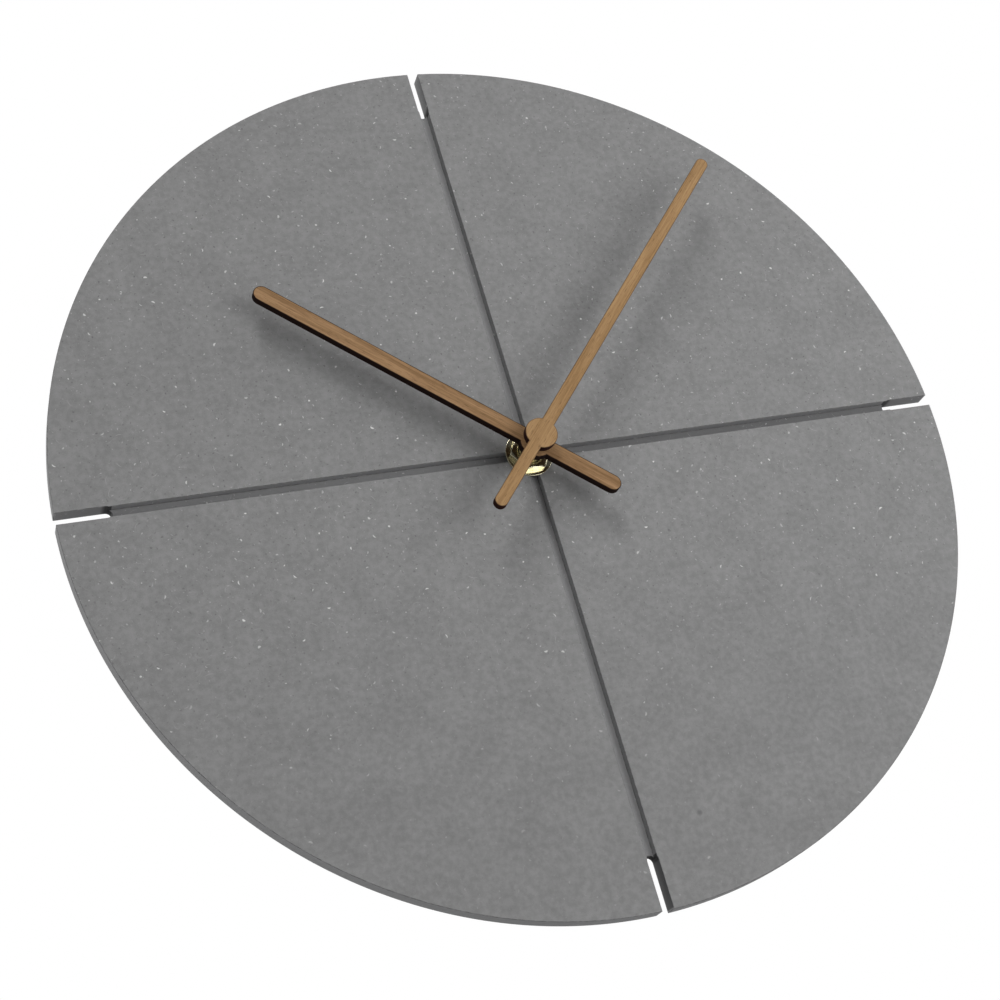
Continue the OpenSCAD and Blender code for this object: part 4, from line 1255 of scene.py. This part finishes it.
class WireTurns(ShapeTree):
    """Turns of round wire side by side along x."""

    name = "wire_turns"
    inputs = {"Count": 40, "Pitch": 0.2, "Radius": 3.3, "Wire": 0.1, "X": 0.0, "Y": 0.0, "Depth": 7.0,
              "Turn Steps": 40, "Wire Facets": 6}

    @classmethod
    def wire(cls, w: Wiring, given: Sockets) -> Socket:
        """Wires a row of points with a ring of wire on each."""
        half = w.times(w.less(given["Count"], 1.0), given["Pitch"], 0.5)
        row = w.made("GeometryNodeMeshLine", {
            "Count": given["Count"], "Offset": w.join(given["Pitch"]),
            "Start Location": w.join(w.less(given["X"], half), given["Y"], given["Depth"])})
        sizes = [{"Resolution": given[steps], "Radius": given[radius]}
                 for steps, radius in (("Turn Steps", "Radius"), ("Wire Facets", "Wire"))]
        loop, strand = (w.made("GeometryNodeCurvePrimitiveCircle", size) for size in sizes)
        ring = w.made("GeometryNodeCurveToMesh", {"Curve": loop, "Profile Curve": strand})
        return w.made("GeometryNodeInstanceOnPoints", {
            "Points": row, "Instance": ring, "Rotation": (0.0, math.pi / 2, 0.0)})


@dataclass
class SubAssembly:
    """Pieces that are built and dressed together.

    Attributes:
        pieces: The finished pieces.
    """

    pieces: list[bpy.types.Object] = field(default_factory=list, init=False)

    def build(self) -> None:
        """Builds every piece of the sub-assembly."""
        raise NotImplementedError

    def piece(self, name: str, bm: BMesh, finish: Finish, node: str = "", body: str = "clock_body") -> None:
        """Makes a finished piece out of a solid.

        Args:
            name: Name of the piece.
            bm: The solid in millimetres in the front view, which is freed.
            finish: Its finish.
            node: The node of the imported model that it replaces, if it does.
            body: The body that it moves with.
        """
        bm.transform(PLACE)
        made = loose_object(bm, name)
        made.data.materials.clear()
        made.data.materials.append(finish.material())
        made.data.shade_smooth()
        made.data.set_sharp_from_angle(angle=CREASE)
        weight_normals(made)
        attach(made, body)
        if node:
            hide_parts(node)
        self.pieces.append(made)
        faces = len(made.data.polygons)
        log.info("%s: %s, %d faces, moves with %s", type(self).__name__, name, faces, body)

    def rounded_copy(self, node: str, width: float, finish: Finish, body: str = "clock_body") -> None:
        """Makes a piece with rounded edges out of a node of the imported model.

        Args:
            node: The node, which the piece replaces.
            width: Width of the rounding in millimetres.
            finish: The piece's finish.
            body: The body that it moves with.
        """
        self.piece(f"{node}_body", soften(cad_copy(node), width), finish, node, body)


@dataclass
class Dial(SubAssembly):
    """The fibreboard dial.

    Attributes:
        radius: Radius of the disc.
        bore: Radius of the centre hole.
        groove_width: Width of the grooves.
        groove_depth: Depth of the grooves.
        slot_width: Width of the rim slots.
        slot_length: Length of the rim slots.
        edge: Width of the broken edges.
    """

    radius: float = 150.0
    bore: float = 4.2
    groove_width: float = 3.2
    groove_depth: float = 2.5
    slot_width: float = 3.7
    slot_length: float = 17.0
    edge: float = 0.16

    def build(self) -> None:
        """Grows the slotted disc and breaks its edges."""
        back, face = depths("dial")
        sizes = {"Radius": self.radius, "Back": back, "Thickness": face - back, "Bore Radius": self.bore,
                 "Groove Width": self.groove_width, "Groove Depth": self.groove_depth,
                 "Slot Width": self.slot_width, "Slot Length": self.slot_length}
        disc = soften(merged(SlottedDisc.grow(FIBREBOARD, **sizes)), self.edge)
        self.piece("dial_board", disc, FIBREBOARD, "dial")


@dataclass
class Hand(SubAssembly):
    """A straight wooden hand with round ends and a round hub.

    Attributes:
        name: The node that it replaces.
        body: The body that it moves with.
        finish: Its wood.
        reach: Hand axis to tip.
        tail: Hand axis to tail end.
        width: Width of the bar.
        hub: Diameter of the hub.
        bore: Diameter of the hole in the hub, or 0.
        angle: Direction in degrees from three o'clock.
        burn: How dark the rim of the face is singed.
        back_burn: How far the whole back face takes the burnt colour, its rim and middle alike.
        round_over: Width of the rounded edge.
        round_share: How far the middle of the rounding lies in, as a share of its width.
        singe: Width of the singed rim on each face.
        bore_steps: Number of steps round the hole.
    """

    name: str
    body: str
    finish: HandWood
    reach: float
    tail: float
    width: float
    hub: float
    bore: float
    angle: float
    burn: float
    back_burn: float = 0.55
    round_over: float = 0.14
    round_share: float = 0.29
    singe: float = 0.25
    bore_steps: int = 48

    def outline(self, inset: float) -> list[Point]:
        """Returns the hand's outline, pointing along x, set in by a width."""
        half = self.width / 2 - inset
        hub = self.hub / 2 - inset
        shoulder = math.sqrt(hub * hub - half * half)
        lean = math.degrees(math.asin(half / hub))
        side = 180 - 2 * lean
        tip = (self.reach - self.width / 2, 0.0)
        end = (self.width / 2 - self.tail, 0.0)
        return [(shoulder, -half), *arc(half, -90, 180, centre=tip), *arc(hub, lean, side),
                *arc(half, 90, 180, centre=end), *arc(hub, 180 + lean, side)[:-1]]

    def levels(self) -> list[tuple[float, float, float]]:
        """Returns the inset, the depth and the burn of each ring, from the back to the face."""
        edge = self.round_over
        rim = edge + self.singe
        near = edge * self.round_share
        low, high = depths(self.name)
        # The back's inner ring takes back_burn, and the filled back face with it, so the whole back is
        # darkened.
        return [(rim, low, self.back_burn), (edge, low, 1.0), (near, low + near, 1.0),
                (0.0, low + edge, 1.0), (0.0, high - edge, 1.0), (near, high - near, self.burn),
                (edge, high, self.burn), (rim, high, 0.0)]

    def build(self) -> None:
        """Builds the hand from rings of its outline and closes its two faces."""
        bm = bmesh.new()
        burn = bm.verts.layers.float.new(EDGE)
        levels = self.levels()
        shapes = [[self.outline(inset) for inset, _, _ in levels]]
        if self.bore > 0:
            shapes.append([circle(self.bore / 2 + inset, self.bore_steps) for inset, _, _ in levels])
        for rings in shapes:
            rows = []
            for ring, (_, depth, value) in zip(rings, levels):
                rows.append([bm.verts.new((x, y, depth)) for x, y in ring])
                for vert in rows[-1]:
                    vert[burn] = value
            skin(bm, rows, closed=False)
        loops = [e for e in bm.edges if e.is_boundary]
        for depth in depths(self.name):
            rim = [e for e in loops if abs(e.verts[0].co.z - depth) < 1e-4]
            bmesh.ops.triangle_fill(bm, edges=rim, use_beauty=True)
        outwards(bm)
        bmesh.ops.rotate(bm, verts=bm.verts, matrix=Matrix.Rotation(math.radians(self.angle), 3, "Z"))
        self.piece(f"{self.name}_wood", bm, self.finish, self.name, self.body)


@dataclass
class PostAndNut(SubAssembly):
    """The brass post with its nut and washers, and the collets of the hands.

    Attributes:
        post_radius: Outer radius of the thread.
        thread_depth: Depth of the thread.
        pitch: Pitch of the thread.
        bore: Radius of the post's bore.
        flange: Radius of the flange inside the case.
        flange_height: Thickness of the flange.
        plain: Length of the post above the flange that has no thread.
        chamfer: Width of the bevels at the thread's ends.
        bore_chamfer: Width of the bevel at the bore's front end.
        post_edge: Width of the post's rounded edges.
        washer: Inner and outer radius of the brass washer.
        washer_edge: Width of its rounded edges.
        rubber: Inner and outer radius of the rubber washer.
        bulge: How far the rubber washer bulges.
        nut_flats: Width across the nut's flats.
        nut_play: Play between the nut and the post.
        turned_down: How far the nut's turned face ends inside its flats.
        turned_slope: Slope of the nut's turned corners in degrees.
        nut_bevel: Width of the bevel at the nut's bore.
        nut_edge: Width of the nut's rounded edges.
        nut_steps: Number of steps round the nut.
        hour_collet: Inner and outer radius of the hour hand's collet.
        minute_collet: Inner and outer radius of the minute hand's collet.
        collet_edge: Width of the collets' rounded edges.
    """

    post_radius: float = 4.0
    thread_depth: float = 0.35
    pitch: float = 0.75
    bore: float = 2.55
    flange: float = 5.15
    flange_height: float = 1.1
    plain: float = 1.5
    chamfer: float = 0.3
    bore_chamfer: float = 0.25
    post_edge: float = 0.05
    washer: Point = (4.1, 7.8)
    washer_edge: float = 0.12
    rubber: Point = (4.1, 11.0)
    bulge: float = 0.12
    nut_flats: float = 12.0
    nut_play: float = 0.02
    turned_down: float = 0.14
    turned_slope: float = 30.0
    nut_bevel: float = 0.35
    nut_edge: float = 0.07
    nut_steps: int = 120
    hour_collet: Point = (2.5, 3.9)
    minute_collet: Point = (1.75, 3.15)
    collet_edge: float = 0.2

    def build(self) -> None:
        """Builds the post, its thread, the nut, the washers and the collets."""
        self.build_post()
        self.piece("nut", self.nut(), BRASS, "hex_nut")
        self.ring("brass_washer", self.washer, self.washer_edge)
        self.piece("rubber_ring", self.rubber_ring(), RUBBER, "rubber_washer")
        self.ring("hour_hand_collet", self.hour_collet, self.collet_edge, "hour_hand_group")
        self.ring("minute_hand_collet", self.minute_collet, self.collet_edge, "minute_hand_group")

    def ring(self, node: str, radii: Point, edge: float, body: str = "clock_body") -> None:
        """Builds a plain brass ring.

        Args:
            node: The node that it replaces. The piece has the same name in short.
            radii: Inner and outer radius.
            edge: Width of its rounded edges.
            body: The body that it moves with.
        """
        inner, outer = radii
        low, high = depths(node)
        ring = turned([(inner, low), (outer, low), (outer, high), (inner, high)], segments=256)
        name = node.replace("brass_", "").replace("hand_", "")
        self.piece(name, soften(ring, edge, 3), BRASS, node, body)

    def rubber_ring(self) -> BMesh:
        """Returns the rubber washer, which bulges a little where it is squeezed."""
        inner, outer = self.rubber
        low, high = depths("rubber_washer")
        third = (high - low) / 3
        flat = outer - self.bulge
        profile = [(inner, low), (flat, low), (outer, low + third), (outer, high - third), (flat, high),
                   (inner, high)]
        return turned(profile, segments=128)

    def build_post(self) -> None:
        """Builds the post's core and the ridge of its thread."""
        root = self.post_radius - self.thread_depth
        low, top = depths("threaded_post")
        high = low + self.flange_height
        start = high + self.plain
        profile = [(self.bore, low), (self.flange, low), (self.flange, high), (self.post_radius, high),
                   (self.post_radius, start - self.chamfer), (root, start), (root, top - self.chamfer),
                   (root - self.chamfer, top), (self.bore + self.bore_chamfer, top),
                   (self.bore, top - self.bore_chamfer)]
        core = soften(turned(profile, segments=128), self.post_edge)
        self.piece("post", core, BRASS, "threaded_post")
        rise = top - self.thread_depth - start
        # A three-sided ridge is 1.5 times as high as the radius of the circle round it.
        ridge = self.thread_depth / 1.5
        thread = HelixRidge.grow(BRASS, **{"Root Radius": self.post_radius - ridge, "Ridge": ridge,
                                           "Turns": rise / self.pitch, "Rise": rise, "Start": start})
        self.piece("post_thread", merged(thread), BRASS)

    def nut(self) -> BMesh:
        """Returns the hex nut, with its corners turned down and its bore countersunk."""
        low, high = depths("hex_nut")
        half = self.nut_flats / 2
        flat = half - self.turned_down
        bore = self.post_radius + self.nut_play
        bevel = self.nut_bevel
        slope = math.tan(math.radians(self.turned_slope))
        bm = bmesh.new()
        columns: list[list[BMVert]] = []
        for k in range(self.nut_steps):
            angle = 360 * k / self.nut_steps
            out = half / math.cos(math.radians(angle % 60 - 30))
            column = [(bore, low), (out, low), (out, high - (out - flat) * slope), (flat, high),
                      (bore + bevel, high), (bore, high - bevel), (bore, (low + high) / 2)]
            columns.append([bm.verts.new((*polar(radius, angle), depth)) for radius, depth in column])
        skin(bm, list(zip(*columns)), closed=True)
        outwards(bm)
        return soften(bm, self.nut_edge)


@dataclass
class Hanger(SubAssembly):
    """The pressed steel hanger.

    Attributes:
        edge: Width of the rounded edges.
    """

    edge: float = 0.12

    def build(self) -> None:
        """Rounds the pressed edges."""
        self.rounded_copy("hanger", self.edge, STEEL)


@dataclass
class MovementCase(SubAssembly):
    """The two shells, the plate between them and the setting knob.

    Attributes:
        edge: Width of the shells' rounded edges.
        plate_edge: Width of the plate's rounded edges.
        knob_edge: Width of the knob's rounded edges.
        knob_at: Front-view place of the knob's axis.
        knob_ring: Inner and outer radius of the ring on the knob.
        knob_depths: Depths between which the ring stands.
        ring_edge: Width of the ring's rounded edges.
        well: Radius of the knob's well.
        sign_at: Distance of the polarity signs from the case's middle, across and up.
        bar: Half the width of a sign's strokes.
        arm: Half the length of a sign's strokes.
        mark_depth: Depth of the signs and the arrows.
        arrow_starts: Angles at which the two arrows start.
        arrow_sweep: Angle from an arrow's start to its head.
        arrow_head: Angle that its head takes.
        arrow_gap: Distance of an arrow's middle from the well.
        stroke: Half the width of an arrow's line.
        barb: Half the width of its head.
        ejectors: Front-view places of the round ejector marks.
        ejector: Radius of an ejector mark.
        ejector_depth: Its depth.
        overrun: How far a cutter stands out of the case.
    """

    edge: float = 0.22
    plate_edge: float = 0.1
    knob_edge: float = 0.08
    knob_at: Point = (6.0, 10.392)
    knob_ring: Point = (3.3, 3.9)
    knob_depths: Point = (0.8, 0.3)
    ring_edge: float = 0.1
    well: float = 5.9
    sign_at: Point = (22.3, -7.2)
    bar: float = 0.35
    arm: float = 1.5
    mark_depth: float = 0.25
    arrow_starts: Point = (200.0, 20.0)
    arrow_sweep: float = 70.0
    arrow_head: float = 13.0
    arrow_gap: float = 2.0
    stroke: float = 0.3
    barb: float = 1.0
    ejectors: Sequence[Point] = ((-22.0, 3.5), (-8.0, 24.0), (22.0, 3.5), (22.0, 25.0))
    ejector: float = 1.5
    ejector_depth: float = 0.1
    overrun: float = 1.0

    def build(self) -> None:
        """Builds both shells, the wheel plate and the knob."""
        back = carve(soften(cad_copy("case_back"), self.edge), self.marks())
        self.piece("back_shell", back, CASE, "case_back")
        self.rounded_copy("case_front", self.edge, CASE)
        self.rounded_copy("wheel_plate", self.plate_edge, PLATE)
        self.rounded_copy("setting_knob", self.knob_edge, KNOB, "knob_group")
        (inner, outer), (low, high) = self.knob_ring, self.knob_depths
        ring = turned([(inner, low), (outer, low), (outer, high), (inner, high)], self.knob_at, 64)
        self.piece("knob_ring", soften(ring, self.ring_edge), KNOB, body="knob_group")

    def marks(self) -> list[BMesh]:
        """Returns the cutters of the polarity signs, the arrows and the ejector marks."""
        low = -self.overrun
        x, y = self.sign_at
        bar, arm = self.bar, self.arm
        cross = [(arm, bar), (bar, bar), (bar, arm), (-bar, arm), (-bar, bar), (-arm, bar),
                 (-arm, -bar), (-bar, -bar), (-bar, -arm), (bar, -arm), (bar, -bar), (arm, -bar)]
        dash = [(arm, bar), (-arm, bar), (-arm, -bar), (arm, -bar)]
        shapes = [[(x + px, y + py) for px, py in cross], [(-x + px, y + py) for px, py in dash]]
        shapes += [self.arrow(start) for start in self.arrow_starts]
        cutters = [prism(shape, low, self.mark_depth) for shape in shapes]
        radius, depth = self.ejector, self.ejector_depth
        pin = [(0.0, low), (radius, low), (radius, depth), (0.0, depth)]
        return cutters + [turned(pin, place, 40) for place in self.ejectors]

    def arrow(self, start: float) -> list[Point]:
        """Returns the outline of a curved arrow round the knob's well, from an angle on."""
        radius = self.well + self.arrow_gap
        outer, inner = (arc(radius + side, start, self.arrow_sweep, 16, self.knob_at)
                        for side in (self.stroke, -self.stroke))
        end = start + self.arrow_sweep
        head = [polar(radius + self.barb, end), polar(radius, end + self.arrow_head),
                polar(radius - self.barb, end)]
        return outer + [(self.knob_at[0] + x, self.knob_at[1] + y) for x, y in head] + inner[::-1]


@dataclass
class GoingTrain(SubAssembly):
    """The wheels and arbors between the motor and the hands.

    Attributes:
        edge: Width of the rounded tooth edges and ends.
        wheels: Each wheel of natural acetal and its body.
    """

    edge: float = 0.08
    wheels: Sequence[tuple[str, str]] = (
        ("hour_wheel", "hour_hand_group"), ("minute_wheel", "minute_wheel_group"),
        ("centre_wheel", "centre_wheel_group"), ("third_wheel", "third_wheel_group"),
        ("seconds_wheel", "seconds_group"), ("intermediate_wheel", "intermediate_group"),
        ("rotor_pinion", "rotor_group"),
    )

    def build(self) -> None:
        """Builds each wheel and the two metal arbors."""
        for node, body in self.wheels:
            self.rounded_copy(node, self.edge, WHEEL, body)
        self.rounded_copy("minute_arbor", self.edge, BRASS, "minute_hand_group")
        self.rounded_copy("seconds_arbor", self.edge, STEEL, "seconds_group")


@dataclass
class Motor(SubAssembly):
    """The stepping motor: rotor magnet, stator, core, bobbin and winding.

    Attributes:
        magnet_edge: Width of the rotor magnet's rounded edges.
        iron_edge: Width of the rounded edges of the stator and the core.
        bobbin_edge: Width of the bobbin's rounded edges.
        winding_edge: Width of the winding's rounded edges.
        coil_at: Front-view place of the coil's middle.
        coil_depth: Depth of the coil's axis.
        winding: Outer radius of the winding.
        length: Length of the winding.
        wire: Radius of the wire.
    """

    magnet_edge: float = 0.1
    iron_edge: float = 0.06
    bobbin_edge: float = 0.08
    winding_edge: float = 0.1
    coil_at: Point = (-10.931, 22.192)
    coil_depth: float = 7.0
    winding: float = 3.4
    length: float = 8.6
    wire: float = 0.1

    def build(self) -> None:
        """Builds the motor's pieces and winds its coil."""
        self.rounded_copy("rotor_magnet", self.magnet_edge, MAGNET, "rotor_group")
        self.rounded_copy("stator", self.iron_edge, CORE)
        self.rounded_copy("coil_core", self.iron_edge, CORE)
        self.rounded_copy("coil_bobbin", self.bobbin_edge, BOBBIN)
        pitch = 2 * self.wire
        x, y = self.coil_at
        turns = WireTurns.grow(COPPER, Count=int(self.length / pitch), Pitch=pitch, Wire=self.wire, X=x,
                               Y=y, Radius=self.winding - self.wire, Depth=self.coil_depth)
        self.piece("coil_turns", turns, COPPER)
        self.rounded_copy("coil_winding", self.winding_edge, COPPER)


@dataclass
class Board(SubAssembly):
    """The circuit board with its crystal, its chip, the coil's leads and the solder.

    Attributes:
        edge: Width of the board's rounded edges.
        top: Depth of the board's component side.
        foot: Depth of the face of the contacts' feet.
        can: Radius of the crystal's can.
        lead: Radius of the crystal's leads.
        bend: Radius of the bend in the leads.
        lead_share: Distance of a lead from the can's axis, as a share of the can's radius.
        lead_start: How far inside the can's end a lead starts.
        lead_joint: Radius of the solder round a crystal lead.
        pads: Front-view places of the pads for the coil's leads.
        pad_joint: Radius of the solder on a pad.
        coil_ends: Points on the winding where its leads leave.
        coil_lead: Radius of the coil's leads.
        sag: How far the coil's leads hang out of a straight line.
        feet: Front-view places of the solder on the contacts' feet.
        foot_joint: Radius of the solder on a foot.
        joint_shape: Radius and height of a solder dome's outline, as shares of its radius.
        joint_sunk: How far a dome reaches into what it stands on.
    """

    edge: float = 0.08
    top: float = 3.0
    foot: float = 3.3
    can: float = 1.0
    lead: float = 0.15
    bend: float = 0.4
    lead_share: float = 0.4
    lead_start: float = 0.3
    lead_joint: float = 0.42
    pads: Sequence[Point] = ((-18.2, 24.6), (-3.6, 24.6))
    pad_joint: float = 0.6
    coil_ends: Sequence[Place] = ((-15.0, 24.2, 4.4), (-6.9, 24.2, 4.4))
    coil_lead: float = 0.06
    sag: Place = (0.0, 0.5, -0.3)
    feet: Sequence[Point] = ((-24.9, 22.2), (24.9, 22.2))
    foot_joint: float = 0.9
    joint_shape: Sequence[Point] = ((1.0, 0.0), (0.82, 0.25), (0.45, 0.44), (0.0, 0.5))
    joint_sunk: float = 0.04

    def build(self) -> None:
        """Builds the board's pieces."""
        self.rounded_copy("circuit_board", self.edge, RESIST)
        self.piece("chip_blob", cad_copy("controller_chip"), RESIN, "controller_chip")
        leads = self.build_crystal()
        for name, pad, end in zip(("left_coil_lead", "right_coil_lead"), self.pads, self.coil_ends):
            foot = Vector((*pad, self.top + 0.1))
            tip = Vector(end)
            sag = (foot + tip) / 2 + Vector(self.sag)
            path = [foot, foot.lerp(sag, 0.55), sag, sag.lerp(tip, 0.5), tip]
            self.piece(name, tube(path, self.coil_lead, 8), COPPER)
        domes = [self.dome(place, base, radius) for places, base, radius in (
            (leads, self.top, self.lead_joint), (self.pads, self.top, self.pad_joint),
            (self.feet, self.foot, self.foot_joint)) for place in places]
        self.piece("solder_joints", joined(domes), SOLDER)

    def build_crystal(self) -> list[Point]:
        """Builds the crystal's can and its leads and returns where the leads meet the board."""
        low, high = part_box("timing_crystal")
        start = low.x / MM
        end = high.x / MM - self.can
        middle = (low.z + high.z) / 2 / MM
        axis = self.top + self.can
        r = self.can
        length = end - start
        profile = [(0.0, 0.0), (r - 0.2, 0.0), (r - 0.06, 0.06), (r, 0.2), (r, length - 0.75),
                   (r - 0.07, length - 0.69), (r - 0.07, length - 0.5), (r, length - 0.44),
                   (r, length - 0.1), (r - 0.06, length), (r - 0.3, length), (r - 0.34, length - 0.1),
                   (0.0, length - 0.1)]
        can = laid(turned(profile, segments=48), start, middle, axis)
        self.piece("crystal_can", can, CAN, "timing_crystal")
        out = end + r - self.lead
        corner = Vector((out - self.bend, 0.0, axis - self.bend))
        ends: list[Point] = []
        for name, side in (("lower_lead", -self.lead_share), ("upper_lead", self.lead_share)):
            y = middle + r * side
            path = [Vector((end - self.lead_start, y, axis))]
            path += [corner + Vector((x, y, up)) for x, up in arc(self.bend, 90, -90, 6)]
            path.append(Vector((out, y, self.top + 0.02)))
            self.piece(name, tube(path, self.lead), CAN)
            ends.append((out, y))
        return ends

    def dome(self, place: Point, base: float, radius: float) -> BMesh:
        """Returns a dome of solder that stands on a depth."""
        sunk = base - self.joint_sunk
        profile = [(0.0, sunk), (radius, sunk)]
        profile += [(radius * out, base + radius * up) for out, up in self.joint_shape]
        return turned(profile, place, 28)


@dataclass
class Cell(SubAssembly):
    """The cell with its shrunk sleeve and caps, and the two contacts.

    Attributes:
        negative: Radius of the flat at the negative end.
        lip: How far the sleeve's rolled end stands out of the can's end.
        ends: Each cap and contact with the width of its rounded edges, its finish and its body.
    """

    negative: float = 6.45
    lip: float = 0.18
    ends: Sequence[tuple[str, float, Finish, str]] = (
        ("cell_positive_cap", 0.12, CELL_METAL, "cell_group"),
        ("cell_negative_cap", 0.08, CELL_METAL, "cell_group"),
        ("contact_positive", 0.05, CONTACT, "clock_body"),
        ("contact_negative", 0.05, CONTACT, "clock_body"),
    )

    def build(self) -> None:
        """Builds the sleeve, the caps and the contacts."""
        self.piece("cell_sleeve", self.sleeve(), SLEEVE, "cell_can", "cell_group")
        for node, edge, finish, body in self.ends:
            self.rounded_copy(node, edge, finish, body)

    def sleeve(self) -> BMesh:
        """Returns the can in its sleeve, which is rolled over both ends."""
        low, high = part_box("cell_can")
        length = (high.x - low.x) / MM
        r = (high.z - low.z) / 2 / MM
        flat = self.negative
        half = [(flat, 0.0), (flat + 0.04, -self.lip), (flat + 0.24, -self.lip - 0.05), (r - 0.3, -0.08),
                (r - 0.08, 0.25), (r, 0.8)]
        other = [(radius, length - x) for radius, x in reversed(half)]
        middle = (low.z + high.z) / 2 / MM
        depth = -(low.y + high.y) / 2 / MM
        sleeve = turned([(0.0, 0.0), *half, *other, (0.0, length)], segments=128)
        return laid(sleeve, low.x / MM, middle, depth)


@dataclass
class Lamp:
    """A soft lamp with a rectangular face.

    Attributes:
        name: Name of the lamp.
        place: Where it stands, in metres.
        width: Width of its face, in metres.
        height: Height of its face, in metres.
        share: Its share of a plain light level on a surface that faces it at the origin.
    """

    name: str
    place: Place
    width: float
    height: float
    share: float

    def build(self, target: Vector) -> None:
        """Makes the lamp and turns it to the target.

        Args:
            target: The point that the lamp faces.
        """
        data = bpy.data.lights.new(self.name, "AREA")
        data.shape = "RECTANGLE"
        data.size = self.width
        data.size_y = self.height
        offset = Vector(self.place) - target
        data.energy = self.share * math.pi ** 2 * offset.length_squared
        lamp = bpy.data.objects.new(self.name, data)
        lamp.location = self.place
        lamp.rotation_mode = "QUATERNION"
        lamp.rotation_quaternion = offset.to_track_quat("Z", "Y")
        bpy.context.scene.collection.objects.link(lamp)


@dataclass
class Studio:
    """The camera, the lamps, the pale surroundings and the floor.

    Attributes:
        camera_place: Where the camera stands, in metres.
        camera_turn: The camera's rotation in degrees.
        lens: Focal length in millimetres.
        sensor: Width of the camera's picture in millimetres.
        nearest: Distance from which the camera sees, in metres.
        ambient: Strength of the surroundings' light from in front and from behind.
        room: Brightness of the room behind the camera, as metal reflects it.
        floor_height: Height of the floor, in metres.
        floor_half: Half the width of the floor, in metres.
        floor_grey: The floor's own grey, each part from 0 to 1.
        floor_glow: Share of plain white in the floor as the camera and metal see it.
        lamp_target: The point that the lamps face, in metres.
        lamps: The lamps.
    """

    camera_place: Place = (-0.21828, -0.53457, -0.22995)
    camera_turn: Place = (112.24677, 15.38083, -15.61227)
    lens: float = 67.6438
    sensor: float = 36.0
    nearest: float = 0.01
    ambient: Point = (0.28, 1.5)
    room: float = 0.07
    floor_height: float = -1.4
    floor_half: float = 6.0
    floor_grey: float = 0.35
    floor_glow: float = 0.8
    lamp_target: Place = (0.0, -0.02, 0.0)
    lamps: Sequence[Lamp] = (
        Lamp("right_lamp", (0.449, -0.672, -0.167), 0.46, 0.51, 0.44),
        Lamp("upper_lamp", (-0.216, -1.592, 2.129), 0.457, 1.293, 0.46),
        Lamp("far_right_lamp", (2.554, -1.415, 0.22), 0.525, 1.029, 0.1),
        Lamp("far_upper_lamp", (4.135, -1.7, 2.844), 1.09, 0.387, 0.12),
        Lamp("rear_lamp", (0.7, 1.1, 0.9), 0.6, 0.6, 0.25),
    )

    def build(self) -> None:
        """Builds the studio."""
        self.build_camera()
        self.build_world()
        self.build_floor()
        for lamp in self.lamps:
            lamp.build(Vector(self.lamp_target))

    def build_camera(self) -> None:
        """Stands the camera where the photograph was taken."""
        data = bpy.data.cameras.new("camera")
        data.lens = self.lens
        data.sensor_width = self.sensor
        data.clip_start = self.nearest
        camera = bpy.data.objects.new("camera", data)
        camera.location = self.camera_place
        camera.rotation_euler = [math.radians(part) for part in self.camera_turn]
        bpy.context.scene.collection.objects.link(camera)
        bpy.context.scene.camera = camera

    def build_world(self) -> None:
        """Makes surroundings that look white and give a soft plain light."""
        world = bpy.data.worlds.new("surroundings")
        world.use_nodes = True
        bpy.context.scene.world = world
        w = Wiring(world.node_tree)
        back = world.node_tree.nodes["Background"]
        back.inputs["Color"].default_value = (1.0, 1.0, 1.0, 1.0)
        path = w.add("ShaderNodeLightPath").outputs
        ahead = w.split(w.add("ShaderNodeTexCoord").outputs["Generated"])[1]
        mirrored = w.ramp(ahead, -0.75, -0.1, self.room, 1.0)
        light = w.between(path["Is Glossy Ray"], w.ramp(ahead, -0.1, 0.1, *self.ambient), mirrored)
        clear = w.most(path["Is Camera Ray"], path["Is Transmission Ray"])
        w.feed(back.inputs["Strength"], w.between(clear, light, 1.0))

    def build_floor(self) -> None:
        """Lays a pale floor that looks white and keeps the clock's shadow."""
        half = self.floor_half
        corners = ((-half, -half), (half, -half), (half, half), (-half, half))
        bm = bmesh.new()
        bm.faces.new([bm.verts.new((x, y, self.floor_height)) for x, y in corners])
        floor = loose_object(bm, "floor")
        pale = bpy.data.materials.new("pale_floor")
        pale.use_nodes = True
        shader = pale.node_tree.nodes["Principled BSDF"]
        shader.inputs["Base Color"].default_value = (*[self.floor_grey] * 3, 1.0)
        shader.inputs["Roughness"].default_value = 0.9
        w = Wiring(pale.node_tree)
        path = w.add("ShaderNodeLightPath").outputs
        seen = w.most(path["Is Camera Ray"], w.most(path["Is Glossy Ray"], path["Is Transmission Ray"]))
        mixed = w.made("ShaderNodeMixShader", {
            0: w.times(seen, self.floor_glow), 1: shader.outputs[0], 2: w.made("ShaderNodeEmission")})
        w.feed(pale.node_tree.nodes["Material Output"].inputs["Surface"], mixed)
        floor.data.materials.append(pale)


def main() -> None:
    """Builds the clock and its studio, and reports each piece."""
    logging.basicConfig(level=logging.INFO, format="%(message)s")
    bpy.context.scene.view_settings.view_transform = "Standard"
    assemblies: list[SubAssembly] = [
        Dial(),
        Hand("hour_hand", "hour_hand_group", HOUR_WOOD, reach=100.8, tail=30.2, width=5.5, hub=11.0,
             bore=5.0, angle=HOUR_ANGLE, burn=1.0),
        Hand("minute_hand", "minute_hand_group", MINUTE_WOOD, reach=131.0, tail=30.4, width=4.3, hub=10.5,
             bore=0.0, angle=MINUTE_ANGLE, burn=0.55),
        PostAndNut(),
        Hanger(),
        MovementCase(),
        GoingTrain(),
        Motor(),
        Board(),
        Cell(),
    ]
    for assembly in assemblies:
        assembly.build()
    Studio().build()
    log.info("%d pieces in %d sub-assemblies", sum(len(a.pieces) for a in assemblies), len(assemblies))


if __name__ == "__main__":
    main()
